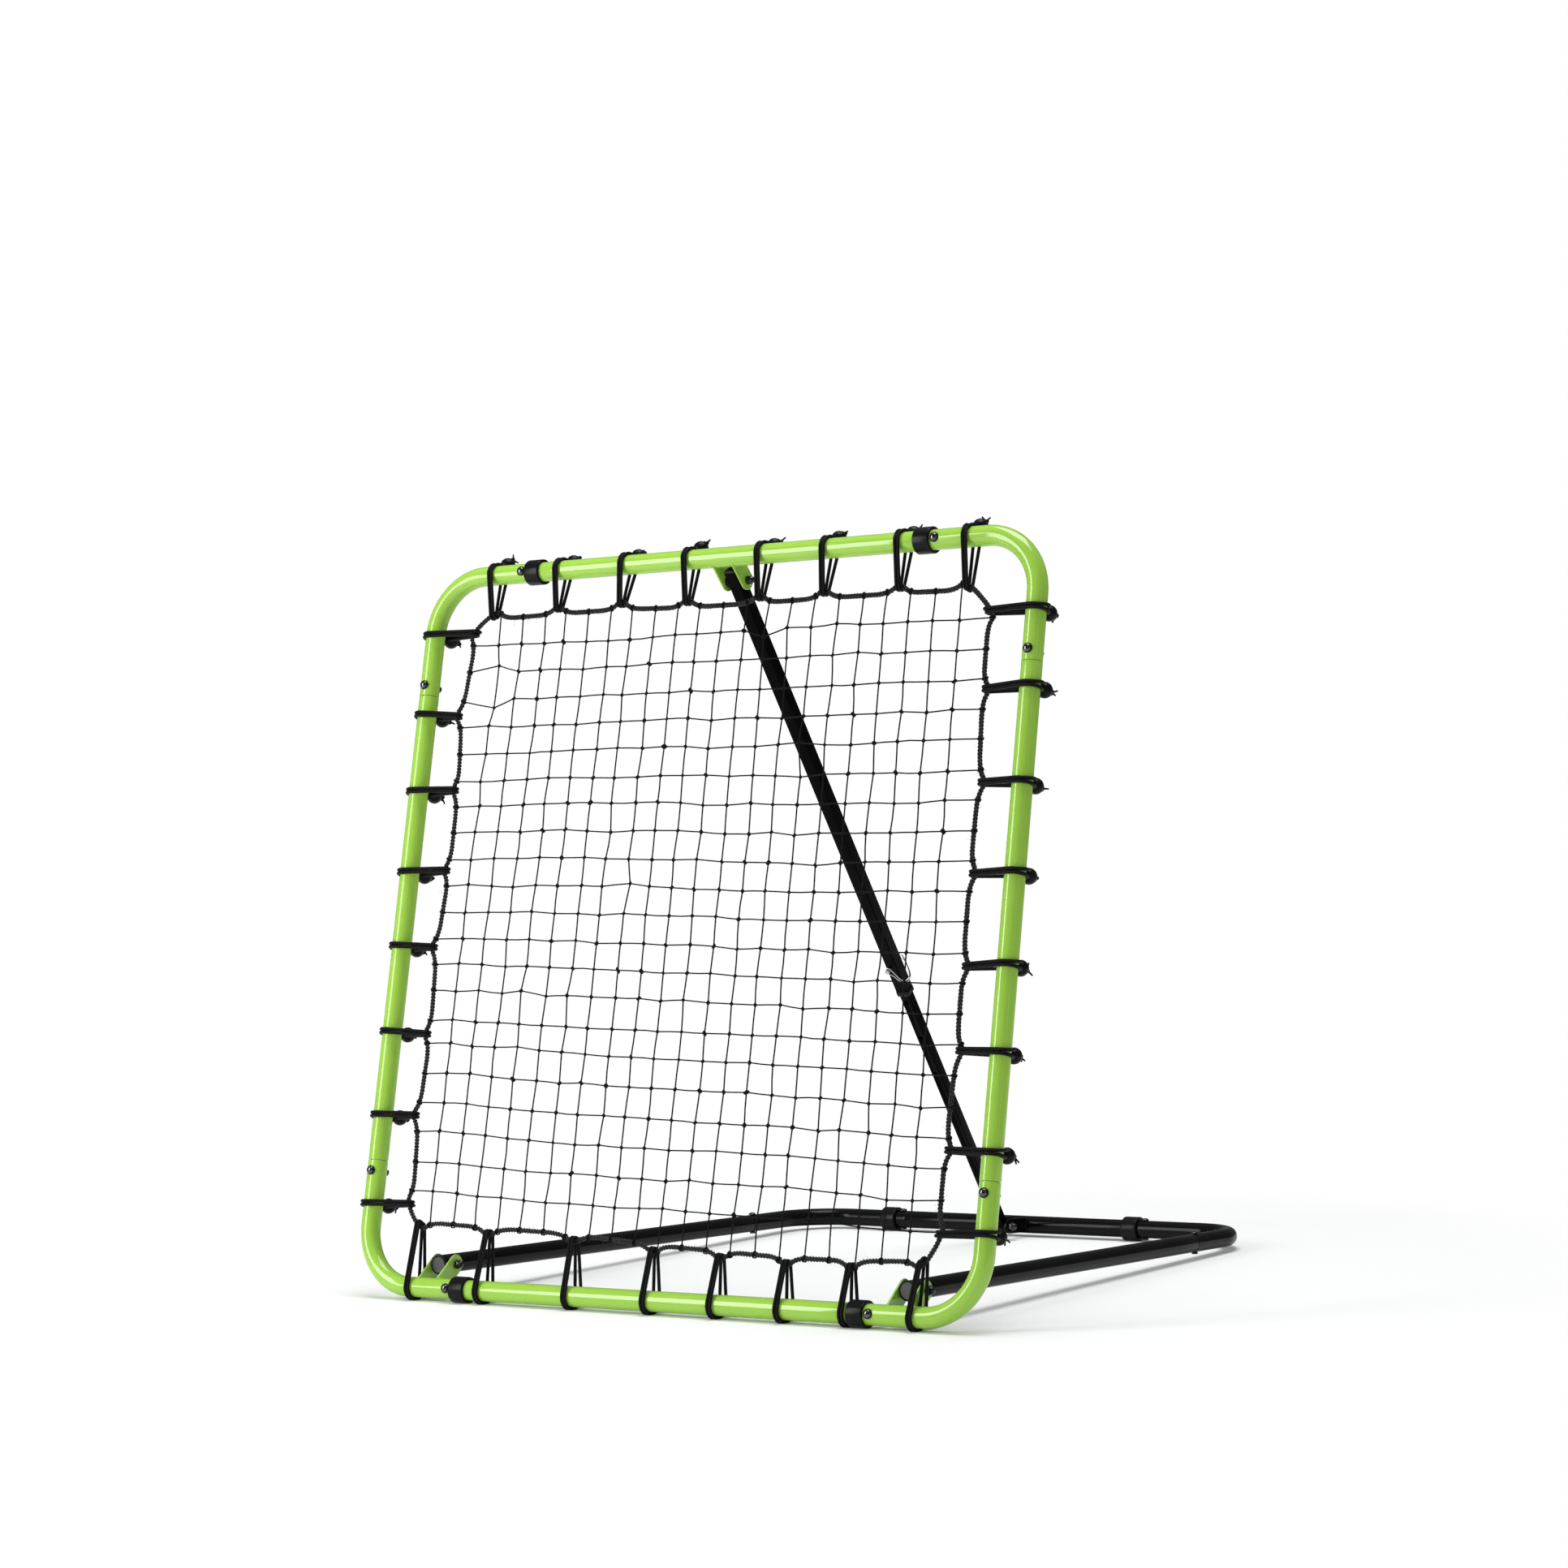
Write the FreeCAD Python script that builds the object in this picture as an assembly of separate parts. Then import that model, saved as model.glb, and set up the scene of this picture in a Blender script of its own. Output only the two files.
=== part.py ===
import FreeCAD, Part
import math
import os

# Pitch back rebounder: a square frame of green tube with a net tied into it by ball loops,
# hinged on a black U-shaped base and held at its lean by a telescopic strut with a lock pin.
# Millimetres. X to the right, Y to the rear, Z up, the floor at Z = 0. The frame leans back.

V = FreeCAD.Vector
X = V(1, 0, 0)
Y = V(0, 1, 0)
Z = V(0, 0, 1)

# Driving sizes of the net frame
frame_width = 1168.0        # between the axes of the two uprights
frame_height = 1168.0       # between the axes of the top and bottom tubes
frame_tube_d = 32.0
frame_wall = 1.2
frame_bend_r = 95.0         # to the tube's axis
corner_leg = 199.0          # from the corner of the axes to the seam
lean = 12.315               # degrees from upright
bolt_from_seam = 17.0
clip_from_seam = 6.0        # the clip's middle, from the seam towards the side's middle

# Driving sizes of the base
base_depth = 1066.7         # from the bottom tube's axis to the rear bar's, on the floor
rail_spacing = 894.6
base_tube_d = 30.0
base_wall = 1.2
base_bend_r = 95.0
rail_slope = 1.865          # degrees, the rails rise to the front
base_side_leg = 199.0
base_rear_leg = 211.3
base_bolt_from_seam = 12.0
rear_clip_shift = 24.0      # each rear clip sits this far to the left of its bolt

# Driving sizes of the joints in the tubes
spigot_length = 36.0
spigot_play = 0.1
swage_length = 8.0
joint_bolt_d = 6.0
bolt_hole_play = 0.2
washer_d = 15.5
washer_t = 1.2
joint_head_d = 13.0
joint_head_h = 4.2
joint_nut_across = 10.0
joint_nut_h = 6.5

# Driving sizes of the rubber clips, which are also the feet
clip_length = 29.0
clip_r = 20.8
clip_round = 1.2
clip_slot_angle = 56.0
foot_h = 20.3               # from a tube's axis to the floor

# Driving sizes of the pivots
hinge_back = 43.5           # hinge axis behind the bottom tube's axis
ear_t = 3.0
hinge_tip_r = 15.5
hinge_bracket_w = 40.5
side_play = 0.3             # beside each part that turns
pivot_bolt_d = 8.0
pivot_play = 0.05
pivot_head_d = 15.0
pivot_head_h = 5.0
pivot_nut_across = 13.0
pivot_nut_h = 7.5
pivot_nut_dome_h = 6.5
spacer_d = 18.0
cap_d = 31.0
cap_t = 2.5
cap_stem = 11.0
hinge_to_rail_end = 18.0

# Driving sizes of the strut and its two brackets
top_pivot_back = 37.0       # top pivot behind the frame's plane
top_pivot_drop = 29.4       # top pivot below the top tube's axis
top_tip_r = 15.5
top_bracket_w = 40.5
rear_pivot_reach = 66.7     # rear pivot in front of the rear bar's axis
rear_pivot_rise = 4.0
rear_tip_r = 12.5
rear_bracket_w = 33.0
outer_side = 21.5
outer_wall = 0.8
inner_side = 17.5
inner_wall = 1.2
side_round = 2.0
outer_above_pivot = 20.0
outer_below_pivot = 806.0
inner_above_pin = 237.0
inner_below_pivot = 8.0
plug_dome = 6.0
plug_stem = 13.0
bush_d = 18.0
sleeve_side = 22.9
sleeve_length = 9.0
sleeve_lip = 4.0

# Driving sizes of the lock pin and of the row of holes that it locks in
pin_from_pivot = 750.0
pin_d = 6.0
pin_hole_play = 0.1
pin_head_d = 8.0
pin_head_h = 5.5
pin_head_out = 12.8         # the middle of the head, in front of the strut
pin_tip = 10.8              # past the strut's rear face
hole_d = 8.0
hole_pitch = 75.0
holes_below = 3
slot_play = 0.4
wire_d = 1.8
wire_play = 0.05
wire_reach = 47.0           # from the pin's head to the wire's closed end
wire_half = 4.0             # half the distance between its two legs at the pin's tip
wire_pinch = 1.7            # the same where the legs run beside the strut
wire_turn = 2.5             # from the head's side to the wire's axis
wire_bulge = 22.0
wire_drop = 31.0

# Driving sizes of the net, its border rope and its ball loops
rope_d = 8.0
net_gaps = 17               # each way
net_margin = 18.0           # from the rope at the ties to the first holes
net_string = 2.4
net_t = 2.0
cord_d = 4.0
cord_play = 0.15
rope_play = 1.1
strand_half = 2.25          # half the distance between a loop's two strands
neck_half = 6.6             # the same where the loop goes round its own neck
neck_along = 9.0
neck_bend_r = 4.0
ball_d = 25.0
ball_lift = 6.0             # from the tube to the ball
knot_r = 5.5
tie_side = 1168.0           # the side that these places are measured on
# Each tie: its place along the side from the side's middle, and the rope's distance from
# the tube's axis there
ties = {
    "top": [(-461, 65), (-328, 61), (-198, 61), (-66, 66), (75, 67), (197, 67), (337, 68), (461, 75)],
    "right": [(-463, 76), (-341, 72), (-195, 67), (-71, 68), (68, 69), (204, 67), (346, 73), (466, 79)],
    "bottom": [(-481, 96), (-338, 88), (-166, 84), (-10, 74), (117, 69), (239, 65), (355, 65), (480, 75)],
    "left": [(-452, 75), (-309, 65), (-178, 71), (-35, 65), (91, 74), (225, 74), (349, 65), (488, 83)],
}
scallop = {"top": 8.0, "right": 13.0, "bottom": 11.0, "left": 14.0}
ball_angle = {"top": 60.0, "right": 86.0, "bottom": 97.0, "left": 97.0}

# What follows from them: the floor, the place of each part of the object and its pivots
frame_r = frame_tube_d / 2
base_r = base_tube_d / 2
cord_r = cord_d / 2
rope_r = rope_d / 2
head_ball = (joint_head_d ** 2 / 4 + joint_head_h ** 2) / (2 * joint_head_h)
head_out = frame_r + washer_t + joint_head_h - head_ball
head_reach = head_out * math.cos(math.radians(lean)) + head_ball
strand_reach = frame_r + cord_play + cord_d
front_reach = max(head_reach, strand_reach, clip_r)
rear_reach = clip_r * math.cos(math.radians(clip_slot_angle / 2 - rail_slope))
front_y = front_reach - (base_depth + front_reach + rear_reach) / 2
rear_y = front_y + base_depth
frame_place = FreeCAD.Placement(V(0, front_y, foot_h), FreeCAD.Rotation(X, -lean))
base_place = FreeCAD.Placement(V(0, rear_y, foot_h), FreeCAD.Rotation(X, -rail_slope))

hinge_forward = (base_depth - hinge_back) / math.cos(math.radians(rail_slope))
hinge = base_place.multVec(V(0, -hinge_forward, 0))
hinge_in_frame = frame_place.inverse().multVec(hinge)
top_pivot_in_frame = V(0, top_pivot_back, frame_height - top_pivot_drop)
top_pivot = frame_place.multVec(top_pivot_in_frame)
rear_pivot = V(0, rear_y - rear_pivot_reach, foot_h + rear_pivot_rise)
rear_pivot_in_base = base_place.inverse().multVec(rear_pivot)
strut_line = rear_pivot - top_pivot
strut_length = strut_line.Length
strut_angle = math.degrees(math.atan2(strut_line.y, -strut_line.z))
strut_place = FreeCAD.Placement(top_pivot, FreeCAD.Rotation(X, strut_angle))

nodes = {}


def add(name, solids, place=FreeCAD.Placement()):
    """Keeps solids as a node, moved from the place that they were drawn in."""
    moved = []
    for solid in solids:
        copy = solid.copy()
        copy.Placement = place.multiply(copy.Placement)
        moved.append(copy)
    nodes[name] = Part.makeCompound(moved) if len(moved) > 1 else moved[0]


def rod(start, end, radius):
    """Solid round bar between two points."""
    return Part.makeCylinder(radius, (end - start).Length, start, end - start)


def bore(place, way, reach, radius):
    """Round bar through a place, as far to both sides."""
    return rod(place - way * reach, place + way * reach, radius)


def turned(profile, base, axis, angle=360.0):
    """Solid turned from lines and arcs of (radius, height) points about an axis."""
    edges = []
    for a, b, *mid in profile:
        start = V(a[0], 0, a[1])
        end = V(b[0], 0, b[1])
        if mid:
            edges.append(Part.Arc(start, V(mid[0][0], 0, mid[0][1]), end).toShape())
        else:
            edges.append(Part.LineSegment(start, end).toShape())
    solid = Part.Face(Part.Wire(edges)).revolve(V(0, 0, 0), Z, angle)
    solid.Placement = FreeCAD.Placement(base, FreeCAD.Rotation(Z, axis))
    return solid


def dome(radius, height, base, axis):
    """Part of a ball with a flat face, standing on base towards axis."""
    ball = (radius * radius + height * height) / (2 * height)
    half = math.asin(radius / ball) / 2
    mid = (ball * math.sin(half), height - ball * (1 - math.cos(half)))
    profile = [((0, 0), (radius, 0)), ((radius, 0), (0, height), mid), ((0, height), (0, 0))]
    return turned(profile, base, axis)


def dome_bolt(seat, out, shank_d, head_d, head_h, length):
    """Domed bolt: its head stands on seat towards out, its shank goes the other way."""
    head = dome(head_d / 2, head_h, seat, out)
    return head.fuse(rod(seat, seat - out * length, shank_d / 2)).removeSplitter()


def hexagon_nut(seat, out, bore_d, across, height, cap_h=0.0, blind=None):
    """Hexagon nut on seat, with a bore right through it or a domed cap over a blind one."""
    corner = across / math.sqrt(3)
    turn = FreeCAD.Rotation(Z, out)
    ring = []
    for k in range(7):
        angle = math.radians(60 * k)
        ring.append(seat + turn.multVec(V(corner * math.cos(angle), corner * math.sin(angle), 0)))
    nut = Part.Face(Part.makePolygon(ring)).extrude(out * height)
    if cap_h:
        nut = nut.fuse(dome(across * 0.46, cap_h, seat + out * height, out)).removeSplitter()
    return nut.cut(rod(seat, seat + out * (blind or height), bore_d / 2))


def route(points, radii, closed=False):
    """Wire of straight runs and tangent arcs, with each arc's middle and direction there."""
    count = len(points)
    turns = []
    for k in range(count):
        here = points[k]
        if not closed and k in (0, count - 1):
            turns.append((here, here, here, None))
            continue
        into = (here - points[k - 1]).normalize()
        out = (points[(k + 1) % count] - here).normalize()
        half = into.getAngle(out) / 2
        reach = radii[k] * math.tan(half)
        bulge = radii[k] / math.cos(half) - radii[k]
        mid = here + (out - into).normalize() * bulge
        turns.append((here - into * reach, mid, here + out * reach, (into + out).normalize()))
    edges = []
    for k in range(count):
        first, mid, last, along = turns[k]
        if along is not None:
            edges.append(Part.Arc(first, mid, last).toShape())
        if k + 1 < count or closed:
            following = turns[(k + 1) % count][0]
            if (following - last).Length > 1e-4:
                edges.append(Part.LineSegment(last, following).toShape())
    return Part.Wire(edges), [(turn[1], turn[3]) for turn in turns]


def largest_radii(points, closed=False):
    """Radius of each turn: 0.45 of the shorter run, over the tangent of half the turn."""
    count = len(points)
    radii = []
    for k in range(count):
        if not closed and k in (0, count - 1):
            radii.append(0.0)
            continue
        back = points[k] - points[k - 1]
        forth = points[(k + 1) % count] - points[k]
        shorter = min(back.Length, forth.Length)
        radii.append(0.45 * shorter / math.tan(back.getAngle(forth) / 2))
    return radii


def swept(path, radius):
    """Round bar along a wire."""
    edge = path.OrderedEdges[0]
    start = path.OrderedVertexes[0].Point
    along = edge.tangentAt(edge.FirstParameter)
    section = Part.Wire(Part.Circle(start, along, radius).toShape())
    return path.makePipeShell([section], True, False)


def bent_tube(start, corner, end, outer_r, wall, bend_r):
    """Tube with one bend between two straight legs."""
    path, turns = route([start, corner, end], [0, bend_r, 0])
    return swept(path, outer_r).cut(swept(path, outer_r - wall))


def spigot(seam, way, outer_r, wall):
    """Reduced end that goes into the next tube, and the cut that hollows it."""
    radius = outer_r - wall - spigot_play
    start = seam - way * swage_length
    end = seam + way * spigot_length
    return rod(start, end, radius), rod(start, end, radius - wall)


def joint_bore(place, way, outer_r):
    """Drilling for a joint bolt across a tube."""
    return bore(place, way, outer_r + 2, joint_bolt_d / 2 + bolt_hole_play)


def straight_tube(middle, along, length, outer_r, wall, bolt_from, bolt_way):
    """Straight tube with a reduced end at each side, drilled for the joint bolts."""
    half = along * (length / 2)
    hollow = along * (length / 2 - swage_length)
    body = rod(middle - half, middle + half, outer_r)
    body = body.cut(rod(middle - hollow, middle + hollow, outer_r - wall))
    for way in (along, -along):
        end, inside = spigot(middle + way * (length / 2), way, outer_r, wall)
        place = middle + way * (length / 2 + bolt_from)
        body = body.fuse(end).cut(inside).cut(joint_bore(place, bolt_way, outer_r))
    return body.removeSplitter()


# The net frame: four straight tubes and four bent corners. Each straight tube's reduced
# ends go into the corners, and a domed bolt crosses both with washers and a nut.
half_w = frame_width / 2
half_h = frame_height / 2
side_half = {"top": half_w, "bottom": half_w, "left": half_h, "right": half_h}
side_middle = {
    "top": V(0, 0, frame_height),
    "bottom": V(0, 0, 0),
    "left": V(-half_w, 0, half_h),
    "right": V(half_w, 0, half_h),
}
side_along = {"top": X, "bottom": X, "left": Z, "right": Z}
side_out = {"top": Z, "bottom": -Z, "left": -X, "right": X}
side_node = {"top": "top_tube", "bottom": "bottom_tube", "left": "upright_left", "right": "upright_right"}

for side, node in side_node.items():
    length = 2 * (side_half[side] - corner_leg)
    tube = straight_tube(side_middle[side], side_along[side], length, frame_r, frame_wall,
                         bolt_from_seam, Y)
    add(node, [tube], frame_place)

joint_bolts = []
joint_washers = []
joint_nuts = []
for level, level_z, level_way in (("bottom", 0.0, Z), ("top", frame_height, -Z)):
    for hand, hand_x, hand_way in (("left", -half_w, X), ("right", half_w, -X)):
        corner = V(hand_x, 0, level_z)
        tube = bent_tube(corner + level_way * corner_leg, corner, corner + hand_way * corner_leg,
                         frame_r, frame_wall, frame_bend_r)
        for way in (level_way, hand_way):
            place = corner + way * (corner_leg - bolt_from_seam)
            seat = place - Y * (frame_r + washer_t)
            back = place + Y * (frame_r + washer_t)
            tube = tube.cut(joint_bore(place, Y, frame_r))
            washers = rod(seat, back, washer_d / 2).cut(bore(place, way, washer_d, frame_r))
            washers = washers.cut(rod(seat, back, joint_bolt_d / 2 + bolt_hole_play))
            joint_washers.extend(washers.Solids)
            joint_bolts.append(dome_bolt(seat, -Y, joint_bolt_d, joint_head_d, joint_head_h,
                                         2 * (frame_r + washer_t) + joint_nut_h + 1))
            joint_nuts.append(hexagon_nut(back, Y, joint_bolt_d, joint_nut_across, joint_nut_h))
        add("corner_%s_%s" % (level, hand), [tube], frame_place)
add("frame_joint_bolts", joint_bolts, frame_place)
add("frame_joint_washers", joint_washers, frame_place)
add("frame_joint_nuts", joint_nuts, frame_place)

# The base: two rails, two bent corners and a rear tube, all in one sloping plane. The
# rails' front ends are drilled for the hinge bolts and closed with round caps.
rail_x = rail_spacing / 2
rail_front = hinge_forward + hinge_to_rail_end
pivot_bore_r = pivot_bolt_d / 2 + pivot_play
rear_half = rail_x - base_rear_leg
base_bolts = []
base_nuts = []
rail_caps = []
for hand, sign in (("left", -1), ("right", 1)):
    corner = V(sign * rail_x, 0, 0)
    seam = corner - Y * base_side_leg
    inward = X * -sign
    tube = bent_tube(seam, corner, corner + inward * base_rear_leg, base_r, base_wall, base_bend_r)
    bolt_places = [corner - Y * (base_side_leg - base_bolt_from_seam),
                   corner + inward * (base_rear_leg - base_bolt_from_seam)]
    for place in bolt_places:
        tube = tube.cut(joint_bore(place, Z, base_r))
        base_bolts.append(dome_bolt(place + Z * base_r, Z, joint_bolt_d, joint_head_d, joint_head_h,
                                    2 * base_r + joint_bolt_d / 2))
        base_nuts.append(hexagon_nut(place - Z * base_r, -Z, joint_bolt_d, joint_nut_across,
                                     joint_bolt_d / 2))
    add("base_corner_%s" % hand, [tube], base_place)
    front = corner - Y * rail_front
    pivot = corner - Y * hinge_forward
    rail = rod(seam, front, base_r).cut(rod(seam - Y * swage_length, front, base_r - base_wall))
    end, inside = spigot(seam, Y, base_r, base_wall)
    rail = rail.fuse(end).cut(inside).cut(joint_bore(bolt_places[0], Z, base_r))
    rail = rail.cut(bore(pivot, X, base_r + 2, pivot_bore_r)).removeSplitter()
    add("base_rail_%s" % hand, [rail], base_place)
    stem_r = base_r - base_wall
    cap = rod(front, front - Y * cap_t, cap_d / 2).fuse(rod(front, front + Y * cap_stem, stem_r))
    rail_caps.append(cap.cut(rod(front, front + Y * cap_stem, stem_r - 2)).removeSplitter())
add("rail_end_caps", rail_caps, base_place)
add("base_joint_bolts", base_bolts, base_place)
add("base_joint_nuts", base_nuts, base_place)
add("base_rear_tube", [straight_tube(V(0, 0, 0), X, 2 * rear_half, base_r, base_wall,
                                     base_bolt_from_seam, Z)], base_place)


# Rubber clips: split rings snapped over the tubes, open to the rear. The four low ones are
# worn flat below, where the rebounder stands on them.
def clip(middle, inner_r):
    """Split ring with rounded rims about a tube along X."""
    half = clip_length / 2
    low = half - clip_round
    rim = clip_r - clip_round
    ease = clip_round * (1 - math.sqrt(0.5))
    profile = [
        ((inner_r, -half), (rim, -half)),
        ((rim, -half), (clip_r, -low), (clip_r - ease, -half + ease)),
        ((clip_r, -low), (clip_r, low)),
        ((clip_r, low), (rim, half), (clip_r - ease, half - ease)),
        ((rim, half), (inner_r, half)),
        ((inner_r, half), (inner_r, -half)),
    ]
    ring = turned(profile, V(0, 0, 0), Z, 360 - clip_slot_angle)
    to_rear = FreeCAD.Rotation(Z, 90 + clip_slot_angle / 2)
    ring.Placement = FreeCAD.Placement(middle, FreeCAD.Rotation(Y, 90).multiply(to_rear))
    return ring


def on_floor(solid, place):
    """The solid moved to its place and cut flat at the floor."""
    moved = solid.copy()
    moved.Placement = place.multiply(moved.Placement)
    box = moved.BoundBox
    below = Part.makeBox(box.XLength + 2, box.YLength + 2, foot_h,
                         V(box.XMin - 1, box.YMin - 1, -foot_h))
    return moved.cut(below)


clip_x = half_w - corner_leg - clip_from_seam
top_clips = []
front_clips = []
rear_clips = []
for sign in (-1, 1):
    top_clips.append(clip(V(sign * clip_x, 0, frame_height), frame_r))
    front_clips.append(on_floor(clip(V(sign * clip_x, 0, 0), frame_r), frame_place))
    rear_x = sign * (rear_half + base_bolt_from_seam) - rear_clip_shift
    rear_clips.append(on_floor(clip(V(rear_x, 0, 0), base_r), base_place))
add("top_tube_clips", top_clips, frame_place)
add("front_foot_clips", front_clips)
add("rear_foot_clips", rear_clips)


# Welded brackets: each is a pair of ears, plates with a round end about a pivot bolt and
# the other end cut to sit on a tube.
def ears(middle_x, pivot, tip_r, tube_axis, tube_r, width):
    """The two ears of a bracket as wide as width over both."""
    pair = []
    down = V(0, tube_axis.y - pivot.y, tube_axis.z - pivot.z)
    turn = FreeCAD.Rotation(X, math.degrees(math.atan2(-down.y, down.z)))
    for outer in (-width / 2, width / 2 - ear_t):
        start = V(middle_x + outer, pivot.y, pivot.z)
        strip = Part.makeBox(ear_t, 2 * tip_r, down.Length, V(0, -tip_r, 0))
        strip.Placement = FreeCAD.Placement(start, turn)
        plate = strip.fuse(rod(start, start + X * ear_t, tip_r)).removeSplitter()
        plate = plate.cut(bore(V(start.x, tube_axis.y, tube_axis.z), X, 2 * ear_t, tube_r))
        pair.append(plate.cut(bore(start, X, 2 * ear_t, pivot_bore_r)))
    return pair


def pivot_set(centre, width, bolts, nuts):
    """Domed bolt from the left through a bracket, and its domed nut at the right."""
    left = centre - X * (width / 2)
    right = centre + X * (width / 2)
    grip = pivot_nut_h + 1
    bolts.append(dome_bolt(left, -X, pivot_bolt_d, pivot_head_d, pivot_head_h, width + grip))
    nuts.append(hexagon_nut(right, X, pivot_bolt_d, pivot_nut_across, pivot_nut_h,
                            pivot_nut_dome_h, grip))


hinge_bolts = []
hinge_nuts = []
hinge_spacers = []
for hand, sign in (("left", -1), ("right", 1)):
    pair = ears(sign * rail_x, hinge_in_frame, hinge_tip_r, V(0, 0, 0), frame_r, hinge_bracket_w)
    add("hinge_bracket_%s" % hand, pair, frame_place)
    pivot_set(hinge_in_frame + X * (sign * rail_x), hinge_bracket_w, hinge_bolts, hinge_nuts)
    centre = V(sign * rail_x, -hinge_forward, 0)
    reach = hinge_bracket_w / 2 - ear_t - side_play
    rings = bore(centre, X, reach, spacer_d / 2)
    rings = rings.cut(bore(centre, Y, 2 * spacer_d, base_r)).cut(bore(centre, X, reach, pivot_bore_r))
    hinge_spacers.extend(rings.Solids)
add("hinge_bolts", hinge_bolts, frame_place)
add("hinge_nuts", hinge_nuts, frame_place)
add("hinge_spacers", hinge_spacers, base_place)

top_axis = V(0, 0, frame_height)
top_bolts = []
top_nuts = []
add("top_strut_bracket", ears(0, top_pivot_in_frame, top_tip_r, top_axis, frame_r, top_bracket_w),
    frame_place)
pivot_set(top_pivot_in_frame, top_bracket_w, top_bolts, top_nuts)
add("strut_top_bolt", top_bolts, frame_place)
add("strut_top_nut", top_nuts, frame_place)
rear_bolts = []
rear_nuts = []
add("rear_strut_bracket", ears(0, rear_pivot_in_base, rear_tip_r, V(0, 0, 0), base_r, rear_bracket_w),
    base_place)
pivot_set(rear_pivot_in_base, rear_bracket_w, rear_bolts, rear_nuts)
add("strut_rear_bolt", rear_bolts, base_place)
add("strut_rear_nut", rear_nuts, base_place)


# The strut, drawn hanging from its top pivot: a square tube that slides in another, with
# a plug in each far end, a sleeve on the mouth and bushes between the tubes and the ears.
def square(side, corner_r, low, high):
    """Square bar with rounded edges, standing on the strut's axis."""
    half = side / 2
    corners = [V(-half, -half, low), V(half, -half, low), V(half, half, low), V(-half, half, low)]
    outline, turns = route(corners, [corner_r] * 4, True)
    return Part.Face(outline).extrude(Z * (high - low))


def bushes(centre_z, side, width):
    """Round bushes on both sides of the strut, as far as the ears."""
    centre = V(0, 0, centre_z)
    reach = width / 2 - ear_t - side_play
    both = bore(centre, X, reach, bush_d / 2).cut(bore(centre, X, side / 2, bush_d))
    return both.cut(bore(centre, X, reach, pivot_bore_r)).Solids


cavity = outer_side - 2 * outer_wall
cavity_round = side_round - outer_wall
pin_z = -pin_from_pivot
pin_centre = V(0, 0, pin_z)
top_centre = V(0, 0, 0)
rear_centre = V(0, 0, -strut_length)
outer = square(outer_side, side_round, -outer_below_pivot, outer_above_pivot)
outer = outer.cut(square(cavity, cavity_round, -outer_below_pivot, outer_above_pivot))
outer = outer.cut(bore(top_centre, X, outer_side, pivot_bore_r))
outer = outer.cut(bore(pin_centre, Y, outer_side, pin_d / 2 + pin_hole_play))
add("strut_outer_tube", [outer], strut_place)

inner_top = pin_z + inner_above_pin
inner_bottom = -strut_length - inner_below_pivot
inner = square(inner_side, side_round, inner_bottom, inner_top)
inner = inner.cut(square(inner_side - 2 * inner_wall, side_round - inner_wall, inner_bottom, inner_top))
inner = inner.cut(bore(rear_centre, X, inner_side, pivot_bore_r))
for k in range(holes_below + 1):
    inner = inner.cut(bore(V(0, 0, pin_z - k * hole_pitch), Y, inner_side, hole_d / 2))
slot_w = pin_d + 2 * slot_play
slot = Part.makeBox(slot_w, 2 * inner_side, holes_below * hole_pitch,
                    V(-slot_w / 2, -inner_side, pin_z - holes_below * hole_pitch))
add("strut_inner_tube", [inner.cut(slot)], strut_place)

plug_top = square(outer_side, side_round, outer_above_pivot, outer_above_pivot + plug_dome)
ball_r = (outer_side ** 2 / 2 + plug_dome ** 2) / (2 * plug_dome)
ball = Part.makeSphere(ball_r, V(0, 0, outer_above_pivot + plug_dome - ball_r))
plug_top = plug_top.common(ball)
stem = square(cavity, cavity_round, outer_above_pivot - plug_stem, outer_above_pivot)
stem = stem.cut(square(cavity - 4, cavity_round, outer_above_pivot - plug_stem, outer_above_pivot))
add("strut_top_plug", [plug_top.fuse(stem).removeSplitter()], strut_place)
bottom_room = inner_side - 2 * inner_wall
bottom_round = side_round - inner_wall
plug = square(inner_side, side_round, inner_bottom - 3, inner_bottom)
stem = square(bottom_room, bottom_round, inner_bottom, inner_bottom + 2 * inner_below_pivot)
stem = stem.cut(square(bottom_room - 4, bottom_round, inner_bottom, inner_bottom + 2 * inner_below_pivot))
plug = plug.fuse(stem).removeSplitter().cut(bore(rear_centre, X, inner_side, pivot_bore_r))
add("strut_bottom_plug", [plug], strut_place)

sleeve_top = sleeve_lip - outer_below_pivot
sleeve = square(sleeve_side, side_round + 1, sleeve_top - sleeve_length, sleeve_top)
sleeve = sleeve.cut(square(cavity, cavity_round, sleeve_top - sleeve_length, sleeve_top))
sleeve = sleeve.cut(square(outer_side, side_round, -outer_below_pivot, sleeve_top))
add("strut_sleeve", [sleeve], strut_place)
add("strut_top_bushes", bushes(0, outer_side, top_bracket_w), strut_place)
add("strut_rear_bushes", bushes(-strut_length, inner_side, rear_bracket_w), strut_place)

# The lock pin crosses the strut from the front and is longer than the strut is deep. Its
# sprung wire turns on the pin's head, hangs down to the right of the strut and closes over
# the pin's tip behind it.
head_y = -outer_side / 2 - pin_head_out
head_rear = head_y + pin_head_h / 2
tip_y = outer_side / 2 + pin_tip
head_centre = V(0, head_y, pin_z)
pin = rod(V(0, head_rear - pin_head_h, pin_z), V(0, head_rear, pin_z), pin_head_d / 2)
pin = pin.fuse(rod(V(0, head_rear, pin_z), V(0, tip_y - pin_d / 2, pin_z), pin_d / 2))
pin = pin.fuse(Part.makeSphere(pin_d / 2, V(0, tip_y - pin_d / 2, pin_z))).removeSplitter()
pin = pin.cut(bore(head_centre, Z, pin_head_d, wire_d / 2 + wire_play))
add("lock_pin", [pin], strut_place)

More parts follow.
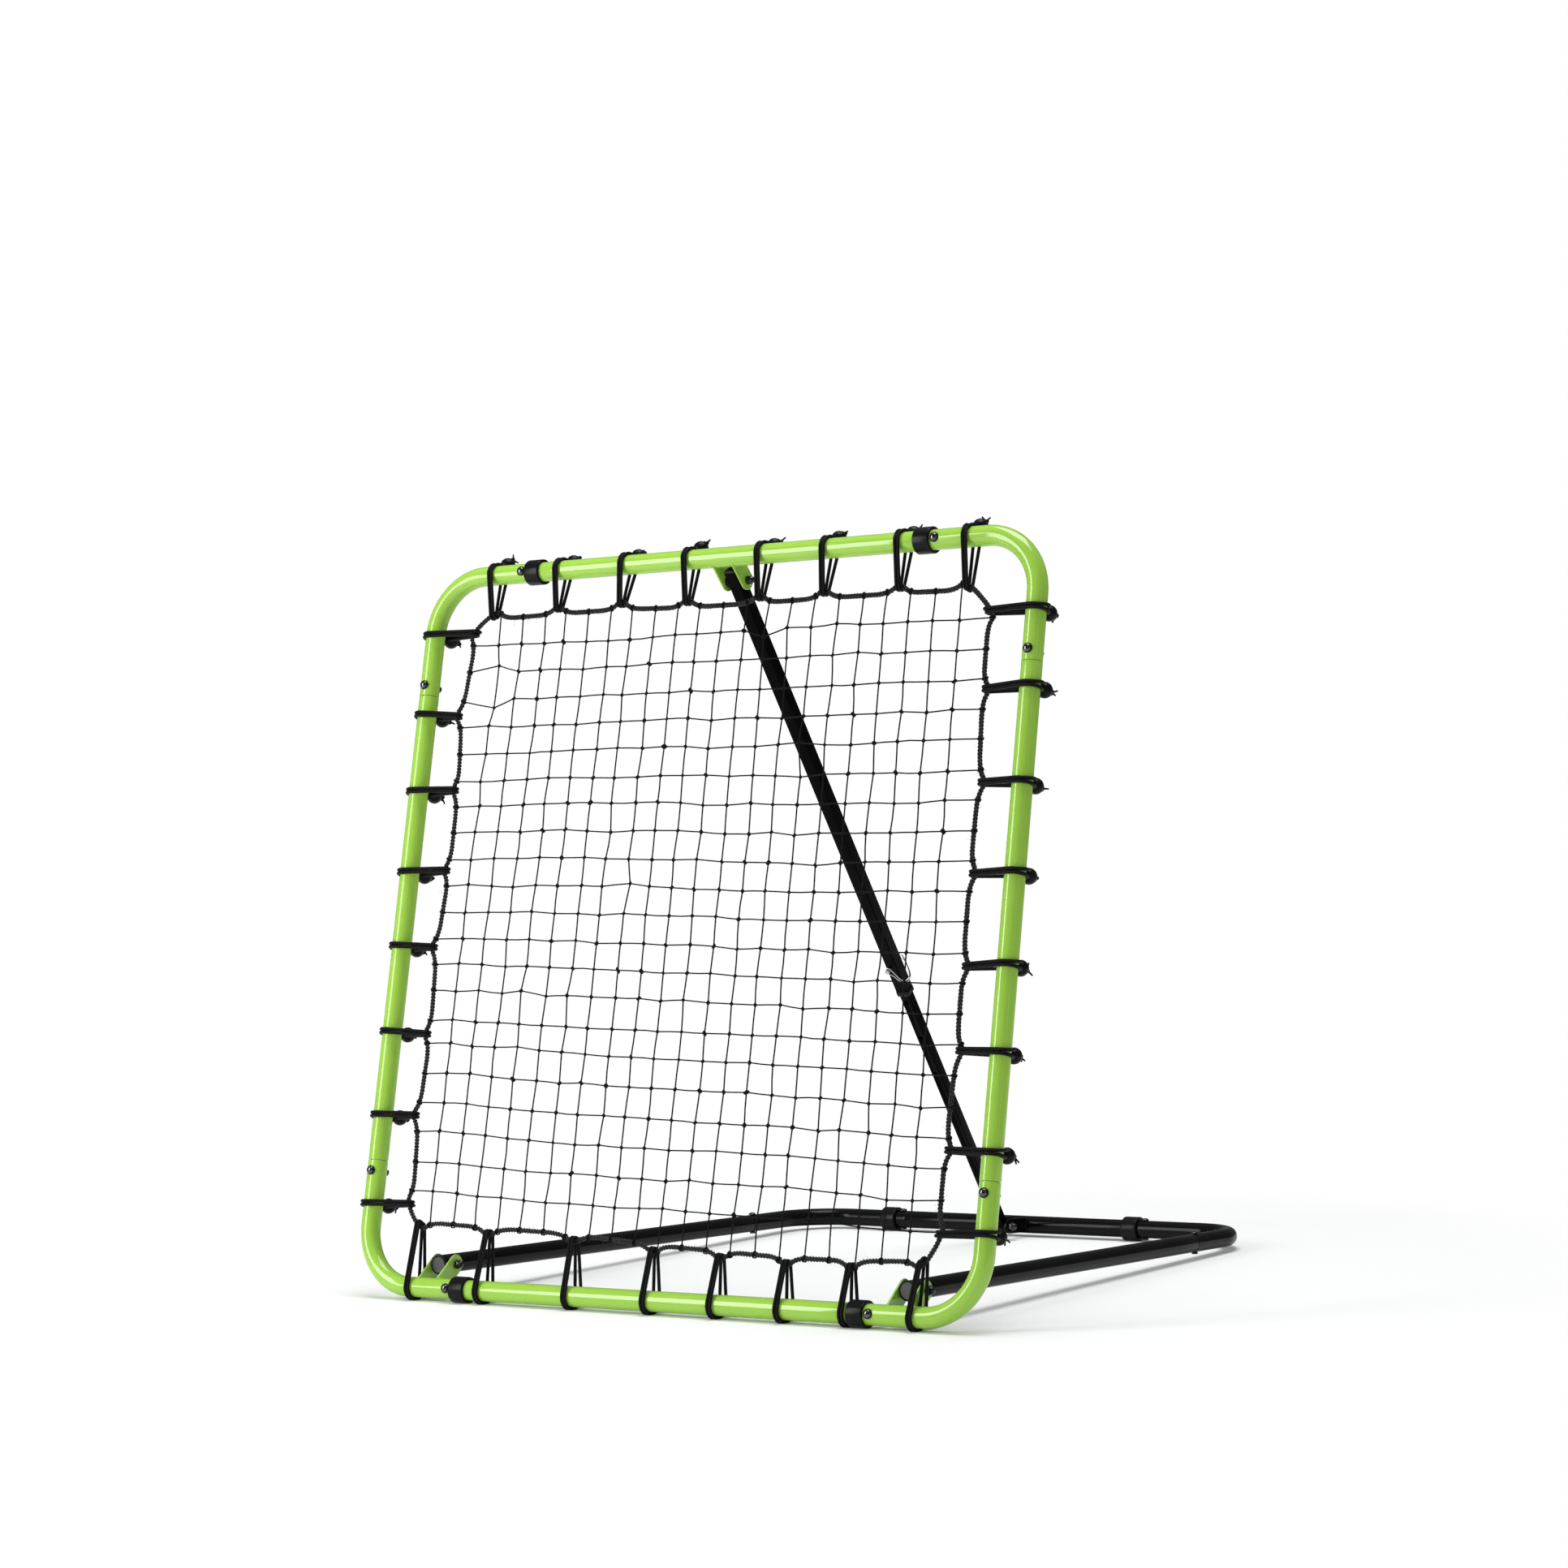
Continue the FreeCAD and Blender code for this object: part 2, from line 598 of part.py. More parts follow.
wire_end_y = head_y + math.sqrt(wire_reach ** 2 - (wire_half + 1) ** 2)
stand_off = pin_head_d / 2 + wire_turn
upper = []
lower = []
for sign, half_wire in ((1, upper), (-1, lower)):
    half_wire.extend([
        V(0, head_y, pin_z + sign * pin_head_d / 6),
        V(0, head_y, pin_z + sign * stand_off),
        V(stand_off, head_y, pin_z + sign * stand_off),
        V(wire_bulge * 0.75, head_y + wire_reach * 0.12, pin_z - wire_drop * 0.9 + sign * wire_pinch),
        V(wire_bulge, head_y + wire_reach * 0.47, pin_z - wire_drop + sign * wire_pinch),
        V(wire_bulge * 0.7, head_y + wire_reach * 0.77, pin_z - wire_drop * 0.65 + sign * wire_half),
        V(wire_half + 2, wire_end_y - 1, pin_z - 1 + sign * wire_half),
        V(-wire_half - 1, wire_end_y, pin_z + sign * wire_half),
    ])
wire_points = upper + lower[::-1]
wire_radii = largest_radii(wire_points)
wire_path, wire_turns = route(wire_points, wire_radii)
add("lock_pin_wire", [swept(wire_path, wire_d / 2)], strut_place)
print("lock pin wire radii", [round(r, 1) for r in wire_radii[1:-1]])


# The border rope runs through the ties and sags between them towards the net.
def tie_places(side):
    """The ties of a side in the rope's order, clockwise, with places scaled to the side."""
    scale = 2 * side_half[side] / tie_side
    listed = ties[side] if side in ("top", "left") else ties[side][::-1]
    return [(place * scale, gap) for place, gap in listed]


def rope_corners(lift):
    """The rope's corner points from the top left, and which tie each is at."""
    corners = []
    for side in ("top", "right", "bottom", "left"):
        at_ties = []
        for number, (place, gap) in enumerate(tie_places(side)):
            inside = side_out[side] * (lift[side][number] - gap)
            at_ties.append(side_middle[side] + side_along[side] * place + inside)
        for number, here in enumerate(at_ties):
            corners.append((here, (side, number)))
            if number + 1 < len(at_ties):
                step = at_ties[number + 1] - here
                sag = side_out[side] * -scallop[side]
                corners.append((here + step * 0.25 + sag, None))
                corners.append((here + step * 0.75 + sag, None))
    return corners


# The rounded turns pass inside the corner points, so these move out until the turns
# themselves are at the ties.
lift = {side: [0.0] * len(places) for side, places in ties.items()}
for attempt in range(4):
    corners = rope_corners(lift)
    points = [corner[0] for corner in corners]
    rope_radii = largest_radii(points, True)
    rope_path, rope_turns = route(points, rope_radii, True)
    rope_at = {}
    for (corner, tie), turn in zip(corners, rope_turns):
        if tie is None:
            continue
        side, number = tie
        rope_at[tie] = turn
        inside = (side_middle[side] - turn[0]).dot(side_out[side])
        lift[side][number] += inside - tie_places(side)[number][1]
add("net_border_rope", [swept(rope_path, rope_r)], frame_place)
print("rope radii", round(min(rope_radii), 1), "to", round(max(rope_radii), 1))
print("rope length", round(rope_path.Length))


# The ball loops. Each is one cord: from a knot down through the ball's hole, round the
# tube's rear to the rope, round the rope, over the tube's front and outside, and round its
# own neck under the ball, and back the same way beside itself.
wrap_r = frame_r + cord_r + cord_play
ball_out = frame_r + ball_lift + ball_d / 2
hole_r = strand_half + cord_r + 0.1
rim = math.sqrt(ball_d ** 2 / 4 - hole_r ** 2)


def around(theta, radius, across=0.0):
    """Point at an angle about the tube (0 outward, 90 to the rear), moved on past it."""
    angle = math.radians(theta)
    return (radius * math.cos(angle) - across * math.sin(angle),
            radius * math.sin(angle) + across * math.cos(angle))


def strand(rope_gap, theta, rope_wrap):
    """Corner points, spread and radii of one strand, from the ball to the neck."""
    tangent = math.degrees(math.acos(-(wrap_r - rope_wrap) / rope_gap))
    wrapped = tangent - theta
    corners = [(around(theta, ball_out + rim), strand_half, 0.0)]
    if wrapped > 32:
        run = wrap_r * math.tan(math.radians(wrapped / 2))
        corners.append((around(theta, wrap_r), strand_half, neck_bend_r))
        rounding = (run - neck_bend_r) / math.tan(math.radians(wrapped / 2))
        corners.append((around(theta, wrap_r, run), strand_half, rounding * 0.99))
    else:
        straight = wrap_r / math.cos(math.radians(wrapped))
        corners.append((around(theta, straight), strand_half, neck_bend_r))
    step = (180 - tangent) / 2
    for angle in (180 - step, 180 + step):
        out, rear = around(angle, rope_wrap / math.cos(math.radians(step)))
        corners.append(((out - rope_gap, rear), strand_half, rope_wrap * 0.99))
    touch = ball_d / 2 + cord_r + 0.2
    end_out = ball_out - math.sqrt(touch ** 2 - neck_along ** 2)
    end_far = math.hypot(neck_along, end_out)
    leave = math.degrees(math.acos(wrap_r / end_far) - math.atan2(neck_along, end_out))
    sector = (theta - leave + tangent) / 3
    for k, share in enumerate((0.0, 0.35, 0.8)):
        spread = strand_half + (neck_half - strand_half) * share
        corner = around(-tangent + (k + 0.5) * sector, wrap_r / math.cos(math.radians(sector / 2)))
        corners.append((corner, spread, wrap_r * 0.98))
    corners.append((around(theta, end_out, neck_along), neck_half, neck_half * 0.98))
    return corners


def rope_slope(side, way):
    """How far the rope rises outwards for each millimetre along a side."""
    return way.dot(side_out[side]) / way.dot(side_along[side])


def rope_wrap_r(slope):
    """Radius of a loop round the rope, which is wider across where it runs aslant."""
    return (rope_r + cord_r) * math.hypot(1, slope) + rope_play


loops = {side: [] for side in ties}
balls = {side: [] for side in ties}
loop_lengths = []
for (side, number), (middle, way) in rope_at.items():
    axis = side_along[side]
    out = side_out[side]
    theta = ball_angle[side]
    offset = middle - side_middle[side]
    origin = side_middle[side] + axis * offset.dot(axis)
    rope_gap = -offset.dot(out)
    slope = rope_slope(side, way)
    points = []
    radii = []
    for sign in (1, -1):
        corners = strand(rope_gap - sign * strand_half * slope, theta, rope_wrap_r(slope))
        if sign < 0:
            corners = corners[::-1]
        for (a, b), spread, radius in corners:
            points.append(origin + out * a + Y * b + axis * (sign * spread))
            radii.append(radius)
    path, turns = route(points, radii)
    radial = around(theta, 1.0)
    ball_way = out * radial[0] + Y * radial[1]
    knot_base = origin + ball_way * (ball_out + rim)
    knot_rise = math.sqrt(knot_r ** 2 - hole_r ** 2)
    knot = Part.makeSphere(knot_r, knot_base + ball_way * knot_rise)
    knot = knot.cut(rod(knot_base, knot_base - ball_way * knot_r, 2 * knot_r))
    loops[side].append(swept(path, cord_r).fuse(knot))
    loop_lengths.append(path.Length)
    ball_centre = origin + ball_way * ball_out
    ball = Part.makeSphere(ball_d / 2, ball_centre)
    balls[side].append(ball.cut(bore(ball_centre, ball_way, ball_d, hole_r)))
for side in ties:
    add("bungee_loops_%s" % side, loops[side], frame_place)
    add("bungee_balls_%s" % side, balls[side], frame_place)
level_loop = strand(70.0, ball_angle["left"], rope_wrap_r(0))
print("loop radii", [round(corner[2], 1) for corner in level_loop[1:]])
print("loop lengths", round(min(loop_lengths)), "to", round(max(loop_lengths)))

# The net: one flat sheet of square holes inside the rope, open where the loops pass
# between it and the rope.
rope_face = Part.Face(rope_path)
net_face = rope_face.makeOffset2D(-rope_r)
mesh_face = rope_face.makeOffset2D(-rope_r - net_string)
box = rope_path.BoundBox
pitch_x = (box.XLength - rope_d - 2 * net_margin) / net_gaps
pitch_z = (box.ZLength - rope_d - 2 * net_margin) / net_gaps
half_x = (pitch_x - net_string) / 2
half_z = (pitch_z - net_string) / 2
gaps = []
for column in range(net_gaps):
    for row in range(net_gaps):
        middle = V((box.XMin + box.XMax) / 2 + (column - (net_gaps - 1) / 2) * pitch_x, 0,
                   (box.ZMin + box.ZMax) / 2 + (row - (net_gaps - 1) / 2) * pitch_z)
        ring = [middle - X * half_x - Z * half_z, middle + X * half_x - Z * half_z,
                middle + X * half_x + Z * half_z, middle - X * half_x + Z * half_z]
        gaps.append(Part.Face(Part.makePolygon(ring + ring[:1])))
openings = Part.makeCompound(gaps).common(mesh_face)
slit_half = strand_half + cord_r + 0.4
slits = []
for (side, number), (middle, way) in rope_at.items():
    slope = rope_slope(side, way)
    slit_depth = rope_wrap_r(slope) + cord_r + strand_half * abs(slope) + 0.6
    beside = side_along[side] * slit_half
    inward = side_out[side] * -slit_depth
    ring = [middle - beside, middle + beside, middle + beside + inward, middle - beside + inward]
    slits.append(Part.Face(Part.makePolygon(ring + ring[:1])))
net = net_face.cut(openings).cut(Part.makeCompound(slits)).extrude(Y * net_t)
net.translate(Y * (-net_t / 2))
add("net", net.Solids, frame_place)

os.makedirs("parts", exist_ok=True)
for name, shape in nodes.items():
    shape.exportStep("parts/%s.step" % name)
whole = Part.makeCompound(list(nodes.values())).BoundBox
print("nodes", len(nodes), "solids", sum(len(shape.Solids) for shape in nodes.values()))
print("size", round(whole.XLength, 2), round(whole.YLength, 2), round(whole.ZLength, 2))
print("middle", round(whole.Center.x, 3), round(whole.Center.y, 3), "floor", round(whole.ZMin, 3))
print("hinge", hinge, "top pivot", top_pivot, "rear pivot", rear_pivot)
print("strut length", round(strut_length, 3), "angle", round(strut_angle, 3))
print("lock pin head", strut_place.multVec(head_centre))
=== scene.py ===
import math

import bmesh
import bpy
import numpy as np
from mathutils import Matrix, Vector


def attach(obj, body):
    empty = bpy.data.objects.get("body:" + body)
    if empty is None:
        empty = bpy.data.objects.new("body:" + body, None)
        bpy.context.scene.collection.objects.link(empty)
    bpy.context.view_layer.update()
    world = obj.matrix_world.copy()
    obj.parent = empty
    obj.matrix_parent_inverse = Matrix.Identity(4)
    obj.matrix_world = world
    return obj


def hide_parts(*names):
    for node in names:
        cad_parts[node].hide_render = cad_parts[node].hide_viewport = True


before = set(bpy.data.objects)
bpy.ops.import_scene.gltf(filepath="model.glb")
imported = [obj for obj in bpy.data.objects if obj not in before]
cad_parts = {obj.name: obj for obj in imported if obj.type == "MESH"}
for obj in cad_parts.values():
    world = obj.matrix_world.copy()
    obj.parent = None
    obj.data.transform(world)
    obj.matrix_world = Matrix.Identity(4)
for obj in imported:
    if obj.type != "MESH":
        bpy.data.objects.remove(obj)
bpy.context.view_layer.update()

scene = bpy.context.scene
scene.view_settings.view_transform = "Standard"


# The photograph's camera: a long lens from the front right, a little above the object's
# middle, that looks nearly level and is turned a little on its own axis. Metres.
def view_axes(azimuth, elevation, roll):
    """Right, up and back of a camera. Back leads from the aim to the camera, right is level and
    square to back, up is square to both, and the first and last turn about back by the roll."""
    az, el, turn = np.radians([azimuth, elevation, roll])
    back = np.array([np.sin(az) * np.cos(el), -np.cos(az) * np.cos(el), np.sin(el)])
    right = np.cross([0, 0, 1.0], back)
    right /= np.linalg.norm(right)
    up = np.cross(back, right)
    return np.cos(turn) * right + np.sin(turn) * up, np.cos(turn) * up - np.sin(turn) * right, back


camera = bpy.data.objects.new("camera", bpy.data.cameras.new("camera"))
scene.collection.objects.link(camera)
camera.data.sensor_width = 36.0
camera.data.lens = 85.85
camera_axes = np.eye(4)
camera_axes[:3, :3] = np.stack(view_axes(azimuth=35.20, elevation=-0.384, roll=-1.936), 1)
camera_axes[:3, 3] = (3.4612, -5.04975, 0.7614)
camera.matrix_world = Matrix(camera_axes.tolist())
scene.camera = camera


# The studio: a large soft light high overhead, tall soft lights at the left and right front,
# and a pale floor that runs into a white background.
def soft_light(name, place, aim, size, power):
    """Rectangular lamp at a place, turned to look at its aim. Metres and watts."""
    lamp = bpy.data.lights.new(name, "AREA")
    lamp.shape = "RECTANGLE"
    lamp.size, lamp.size_y = size
    lamp.energy = power
    holder = bpy.data.objects.new(name, lamp)
    scene.collection.objects.link(holder)
    holder.location = place
    holder.rotation_euler = (Vector(aim) - Vector(place)).to_track_quat("-Z", "Y").to_euler()


soft_light("overhead_light", (0.38, 0.19, 6.0), aim=(0, 0, 0), size=(3.4, 3.4), power=240)
soft_light("left_front_light", (-2.2, -3.2, 1.7), aim=(0, 0, 0.6), size=(1.2, 2.6), power=88)
soft_light("right_front_light", (3.4, -1.2, 1.5), aim=(0, 0, 0.6), size=(0.4, 2.2), power=3)


def combined(tree, operation, *items):
    """Math node on sockets and numbers."""
    node = tree.nodes.new("ShaderNodeMath")
    node.operation = operation
    for socket, item in zip(node.inputs, items):
        if isinstance(item, float):
            socket.default_value = item
        else:
            tree.links.new(item, socket)
    return node.outputs[0]


def ranged(tree, value, low, high, to_low=0.0, to_high=1.0):
    """Value eased from one range into another, level below and above it."""
    node = tree.nodes.new("ShaderNodeMapRange")
    node.interpolation_type = "SMOOTHSTEP"
    for label, number in (("From Min", low), ("From Max", high), ("To Min", to_low), ("To Max", to_high)):
        node.inputs[label].default_value = number
    tree.links.new(value, node.inputs["Value"])
    return node.outputs[0]


def plain_shader(tree, kind, colour, strength=None):
    """Shader of one colour, whose strength is a number or a socket."""
    node = tree.nodes.new("ShaderNode" + kind)
    node.inputs["Color"].default_value = (*colour, 1)
    if isinstance(strength, float):
        node.inputs["Strength"].default_value = strength
    elif strength is not None:
        tree.links.new(strength, node.inputs["Strength"])
    return node.outputs[0]


def joined_shaders(tree, kind, *items):
    """Mix or Add Shader node on its inputs in order."""
    node = tree.nodes.new("ShaderNode" + kind)
    for socket, item in zip(node.inputs, items):
        tree.links.new(item, socket)
    return node.outputs[0]


world = bpy.data.worlds.new("studio")
scene.world = world
world.use_nodes = True
sky = world.node_tree
sky.nodes.clear()
sky_rays = sky.nodes.new("ShaderNodeLightPath").outputs
sky_way = sky.nodes.new("ShaderNodeSeparateXYZ")
sky.links.new(sky.nodes.new("ShaderNodeTexCoord").outputs["Generated"], sky_way.inputs[0])
# polished surfaces see less of the plain light, as in a studio hung with dark cloth, and a
# pale ceiling right above; the camera sees white
sky_strength = combined(sky, "MULTIPLY_ADD", sky_rays["Is Glossy Ray"], -0.20, 0.34)
ceiling = ranged(sky, sky_way.outputs["Z"], 0.55, 1.0, to_high=0.35)
ceiling = combined(sky, "MULTIPLY", sky_rays["Is Glossy Ray"], ceiling)
seen = combined(sky, "MAXIMUM", sky_rays["Is Camera Ray"], sky_rays["Is Transmission Ray"])
sky_light = joined_shaders(
    sky, "MixShader", combined(sky, "MAXIMUM", seen, ceiling),
    plain_shader(sky, "Background", (0.96, 0.98, 1), sky_strength),
    plain_shader(sky, "Background", (1, 1, 1), 1.0))
sky.links.new(sky_light, sky.nodes.new("ShaderNodeOutputWorld").inputs["Surface"])

floor_corners = [(-30, -30, 0), (30, -30, 0), (30, 30, 0), (-30, 30, 0)]
floor_mesh = bpy.data.meshes.new("floor")
floor_mesh.from_pydata(floor_corners, [], [(0, 1, 2, 3)])
floor = bpy.data.objects.new("floor", floor_mesh)
scene.collection.objects.link(floor)
floor_paint = bpy.data.materials.new("pale_floor")
floor_paint.use_nodes = True
floor.data.materials.append(floor_paint)
ground = floor_paint.node_tree
ground.nodes.clear()
from_camera = ground.nodes.new("ShaderNodeLightPath").outputs["Is Camera Ray"]
faint_glow = combined(ground, "MULTIPLY", from_camera, 0.05)
lit_floor = joined_shaders(ground, "AddShader", plain_shader(ground, "BsdfDiffuse", (0.9, 0.9, 0.9)),
                           plain_shader(ground, "Emission", (1, 1, 1), faint_glow))
floor_far = ground.nodes.new("ShaderNodeVectorMath")
floor_far.operation = "LENGTH"
ground.links.new(ground.nodes.new("ShaderNodeTexCoord").outputs["Object"], floor_far.inputs[0])
# for the camera it turns white between two distances from its middle, in metres
fading = combined(ground, "MULTIPLY", ranged(ground, floor_far.outputs["Value"], 0.85, 1.4), from_camera)
white_floor = plain_shader(ground, "Emission", (1, 1, 1), 1.0)
floor_look = joined_shaders(ground, "MixShader", fading, lit_floor, white_floor)
ground.links.new(floor_look, ground.nodes.new("ShaderNodeOutputMaterial").inputs["Surface"])


# The four straight tubes and four bent corners of the net frame: 32 mm steel tube, bent
# cold and coated green, whose swaged ends are pushed together a fifth of the way along each
# side. The coat is a sprayed and baked powder with a faint ripple and a few rub marks.
def effect(name, inputs, outputs):
    """Empty node group with named sockets, its input and its output."""
    tree = bpy.data.node_groups.new(name, "ShaderNodeTree")
    for label, kind, value in inputs:
        socket = tree.interface.new_socket(label, in_out="INPUT", socket_type="NodeSocket" + kind)
        if value is not None:
            socket.default_value = value
    for label, kind in outputs:
        tree.interface.new_socket(label, in_out="OUTPUT", socket_type="NodeSocket" + kind)
    return tree, tree.nodes.new("NodeGroupInput"), tree.nodes.new("NodeGroupOutput")


def noise(tree, where, scale, detail=2.0):
    """Noise whose scale is a socket or a number."""
    node = tree.nodes.new("ShaderNodeTexNoise")
    node.inputs["Detail"].default_value = detail
    tree.links.new(where, node.inputs["Vector"])
    if isinstance(scale, float):
        node.inputs["Scale"].default_value = scale
    else:
        tree.links.new(scale, node.inputs["Scale"])
    return node.outputs["Fac"]


def mixed(tree, share, a, b):
    """Colour between two, each a socket or an (r, g, b)."""
    node = tree.nodes.new("ShaderNodeMix")
    node.data_type = "RGBA"
    tree.links.new(share, node.inputs["Factor"])
    for colour_input, item in ((6, a), (7, b)):
        if isinstance(item, tuple):
            node.inputs[colour_input].default_value = (*item, 1)
        else:
            tree.links.new(item, node.inputs[colour_input])
    return node.outputs[2]


ripple, ripple_in, ripple_out = effect(
    "surface_ripple",
    [("Place", "Vector", None), ("Grain", "Float", 600.0), ("Depth", "Float", 0.1)],
    [("Normal", "Vector"), ("Clouds", "Float"), ("Rubs", "Float")])
ripple_place = ripple_in.outputs["Place"]
ripple_bump = ripple.nodes.new("ShaderNodeBump")
ripple_bump.inputs["Distance"].default_value = 0.0004
ripple.links.new(ripple_in.outputs["Depth"], ripple_bump.inputs["Strength"])
ripple.links.new(noise(ripple, ripple_place, ripple_in.outputs["Grain"]), ripple_bump.inputs["Height"])
ripple.links.new(ripple_bump.outputs[0], ripple_out.inputs["Normal"])
clouds = ranged(ripple, noise(ripple, ripple_place, 9.0, 4.0), 0.3, 0.7)
ripple.links.new(clouds, ripple_out.inputs["Clouds"])
rub_strokes = ranged(ripple, noise(ripple, ripple_place, 260.0, 6.0), 0.56, 0.72)
rub_spots = ranged(ripple, noise(ripple, ripple_place, 14.0, 3.0), 0.5, 0.68)
ripple.links.new(combined(ripple, "MULTIPLY", rub_strokes, rub_spots), ripple_out.inputs["Rubs"])


def coated(name, colour, tone, rub, rough, rub_rough, grain, depth, **sockets):
    """Painted, plated or moulded finish: colour clouded with tone and rubbed here and there,
    with a ripple of a grain and depth. The rest are values of the shader's own sockets."""
    material = bpy.data.materials.new(name)
    material.use_nodes = True
    tree = material.node_tree
    shader = tree.nodes["Principled BSDF"]
    for label, value in sockets.items():
        shader.inputs[label.replace("_", " ")].default_value = value
    surface = tree.nodes.new("ShaderNodeGroup")
    surface.node_tree = ripple
    surface.inputs["Grain"].default_value = grain
    surface.inputs["Depth"].default_value = depth
    tree.links.new(tree.nodes.new("ShaderNodeTexCoord").outputs["Object"], surface.inputs["Place"])
    rubs = surface.outputs["Rubs"]
    clouded = mixed(tree, surface.outputs["Clouds"], colour, tone)
    tree.links.new(mixed(tree, rubs, clouded, rub), shader.inputs["Base Color"])
    tree.links.new(ranged(tree, rubs, 0.0, 1.0, rough, rub_rough), shader.inputs["Roughness"])
    tree.links.new(surface.outputs["Normal"], shader.inputs["Normal"])
    return material


green_coat = coated("green_powder_coat", (0.35, 0.63, 0.072), tone=(0.335, 0.61, 0.067),
                    rub=(0.375, 0.65, 0.09), rough=0.11, rub_rough=0.15, grain=900.0, depth=0.012,
                    Specular_IOR_Level=0.38, Coat_Weight=0.18, Coat_Roughness=0.03)
# The frame is drawn upright and then leant back. All sizes of pieces are in millimetres.
FRAME = ((0.0, -532.151, 20.3), 12.315)
X, Y, Z = np.eye(3)
half_side = 584.0
tube_r = 16.0
bend_r = 95.0
seam_at = 199.0
seam_slot = 1.0


def placed(points, where):
    """Points drawn upright, leant back by degrees and moved to an origin."""
    origin, degrees = where
    s, c = math.sin(math.radians(degrees)), math.cos(math.radians(degrees))
    turn = np.array([[1, 0, 0], [0, c, s], [0, -s, c]])
    return np.asarray(points, float) @ turn.T + origin


def unit(vectors):
    """Vectors divided by their length along the last axis."""
    return vectors / np.linalg.norm(vectors, axis=-1, keepdims=True)


def carried(path, offsets, normal, closed=False):
    """Grid: at each path point, (across, out) offsets in the plane square to the path, out being
    the direction nearest to normal."""
    ahead = np.roll(path, -1, 0) - np.roll(path, 1, 0) if closed else np.gradient(path, axis=0)
    along = unit(ahead)
    across = unit(np.cross(np.broadcast_to(normal, path.shape), along))
    out = np.cross(along, across)
    offsets = np.broadcast_to(offsets, (len(path),) + offsets.shape[-2:])
    return path[:, None] + across[:, None] * offsets[..., :1] + out[:, None] * offsets[..., 1:]


def angles(count):
    """Equal steps of angle round a full circle."""
    return np.arange(count) * (2 * np.pi / count)


def ring(radius, sides):
    """Offsets round a circle, or round one circle for each of several radii."""
    circle = np.stack([np.cos(angles(sides)), np.sin(angles(sides))], -1)
    return np.asarray(radius, float)[..., None, None] * circle


def capped(grid):
    """The grid with its first and last rows drawn together to their middles."""
    first = np.broadcast_to(grid[0].mean(0), grid[:1].shape)
    last = np.broadcast_to(grid[-1].mean(0), grid[:1].shape)
    return np.concatenate([first, grid, last])


def looped(grid):
    """The grid with its first row again after its last, so that it closes on itself."""
    return np.concatenate([grid, grid[:1]])


def grid_faces(grid):
    """Corners of the faces between neighbours on a grid that is closed round, and for each
    corner the metres along and round the surface, added up from the gaps between points."""
    rows, columns = grid.shape[:2]
    i, j = np.arange(rows - 1)[:, None], np.arange(columns)[None, :]
    steps = np.linalg.norm(np.diff(grid, axis=0), axis=-1).mean(1)
    rounds = np.linalg.norm(np.roll(grid, -1, 1) - grid, axis=-1).max(0)
    u = np.concatenate([[0], np.cumsum(steps)]) / 1000
    v = np.concatenate([[0], np.cumsum(rounds)]) / 1000
    square = [(i, j), (i, j + 1), (i + 1, j + 1), (i + 1, j)]
    corners = np.stack([a * columns + b % columns for a, b in square], -1)
    uvs = np.stack([np.stack([u[a] + 0 * v[b], v[b] + 0 * u[a]], -1) for a, b in square], -2)
    return corners.reshape(-1, 4), uvs.reshape(-1, 2)


def piece(name, grids, where, finish, body, slot, *nodes, sharp=40.0):
    """Object from grids of points that are closed round, moved to their place. Doubled points
    are merged, normals turned outwards, and edges over the sharp angle stay crisp."""
    faces = [grid_faces(grid) for grid in grids]
    starts = np.cumsum([0] + [grid.shape[0] * grid.shape[1] for grid in grids[:-1]])
    corners = np.concatenate([start + flat for start, (flat, uv) in zip(starts, faces)])
    uvs = np.concatenate([uv for flat, uv in faces])
    points = placed(np.concatenate([grid.reshape(-1, 3) for grid in grids]), where) / 1000
    mesh = bpy.data.meshes.new(name)
    mesh.vertices.add(len(points))
    mesh.vertices.foreach_set("co", points.ravel())
    mesh.loops.add(corners.size)
    mesh.loops.foreach_set("vertex_index", corners.ravel().astype(np.int32))
    mesh.polygons.add(len(corners))
    mesh.polygons.foreach_set("loop_start", np.arange(0, corners.size, 4, dtype=np.int32))
    mesh.uv_layers.new(name="UVMap").data.foreach_set("uv", uvs.ravel())
    mesh.update()
    work = bmesh.new()
    work.from_mesh(mesh)
    bmesh.ops.remove_doubles(work, verts=work.verts, dist=1e-7)
    bmesh.ops.dissolve_degenerate(work, edges=work.edges, dist=1e-8)
    bmesh.ops.recalc_face_normals(work, faces=work.faces)
    work.to_mesh(mesh)
    work.free()
    mesh.polygons.foreach_set("use_smooth", np.ones(len(mesh.polygons), bool))
    mesh.set_sharp_from_angle(angle=math.radians(sharp))
    mesh.materials.append(finish)
    made = bpy.data.objects.new(name, mesh)
    scene.collection.objects.link(made)
    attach(made, body)
    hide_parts(*nodes)
    return made


def end_steps(length, ease, step):
    """Distances along a tube: close together at both ends where the rim is eased, and about a
    step apart between."""
    rim = ease * np.array([0.0, 0.08, 0.3, 0.65, 1.0])
    middle = np.linspace(ease, length - ease, max(2, int(length / step)))[1:-1]
    return np.concatenate([rim, middle, length - rim[::-1]])


def eased_r(along, radius, ease):
    """Radius that drops in a quarter circle over the last ease of both ends."""
    near = np.clip(np.minimum(along, along[-1] - along) / ease, 0, 1)
    return radius - ease * (1 - np.sqrt(1 - (1 - near) ** 2))


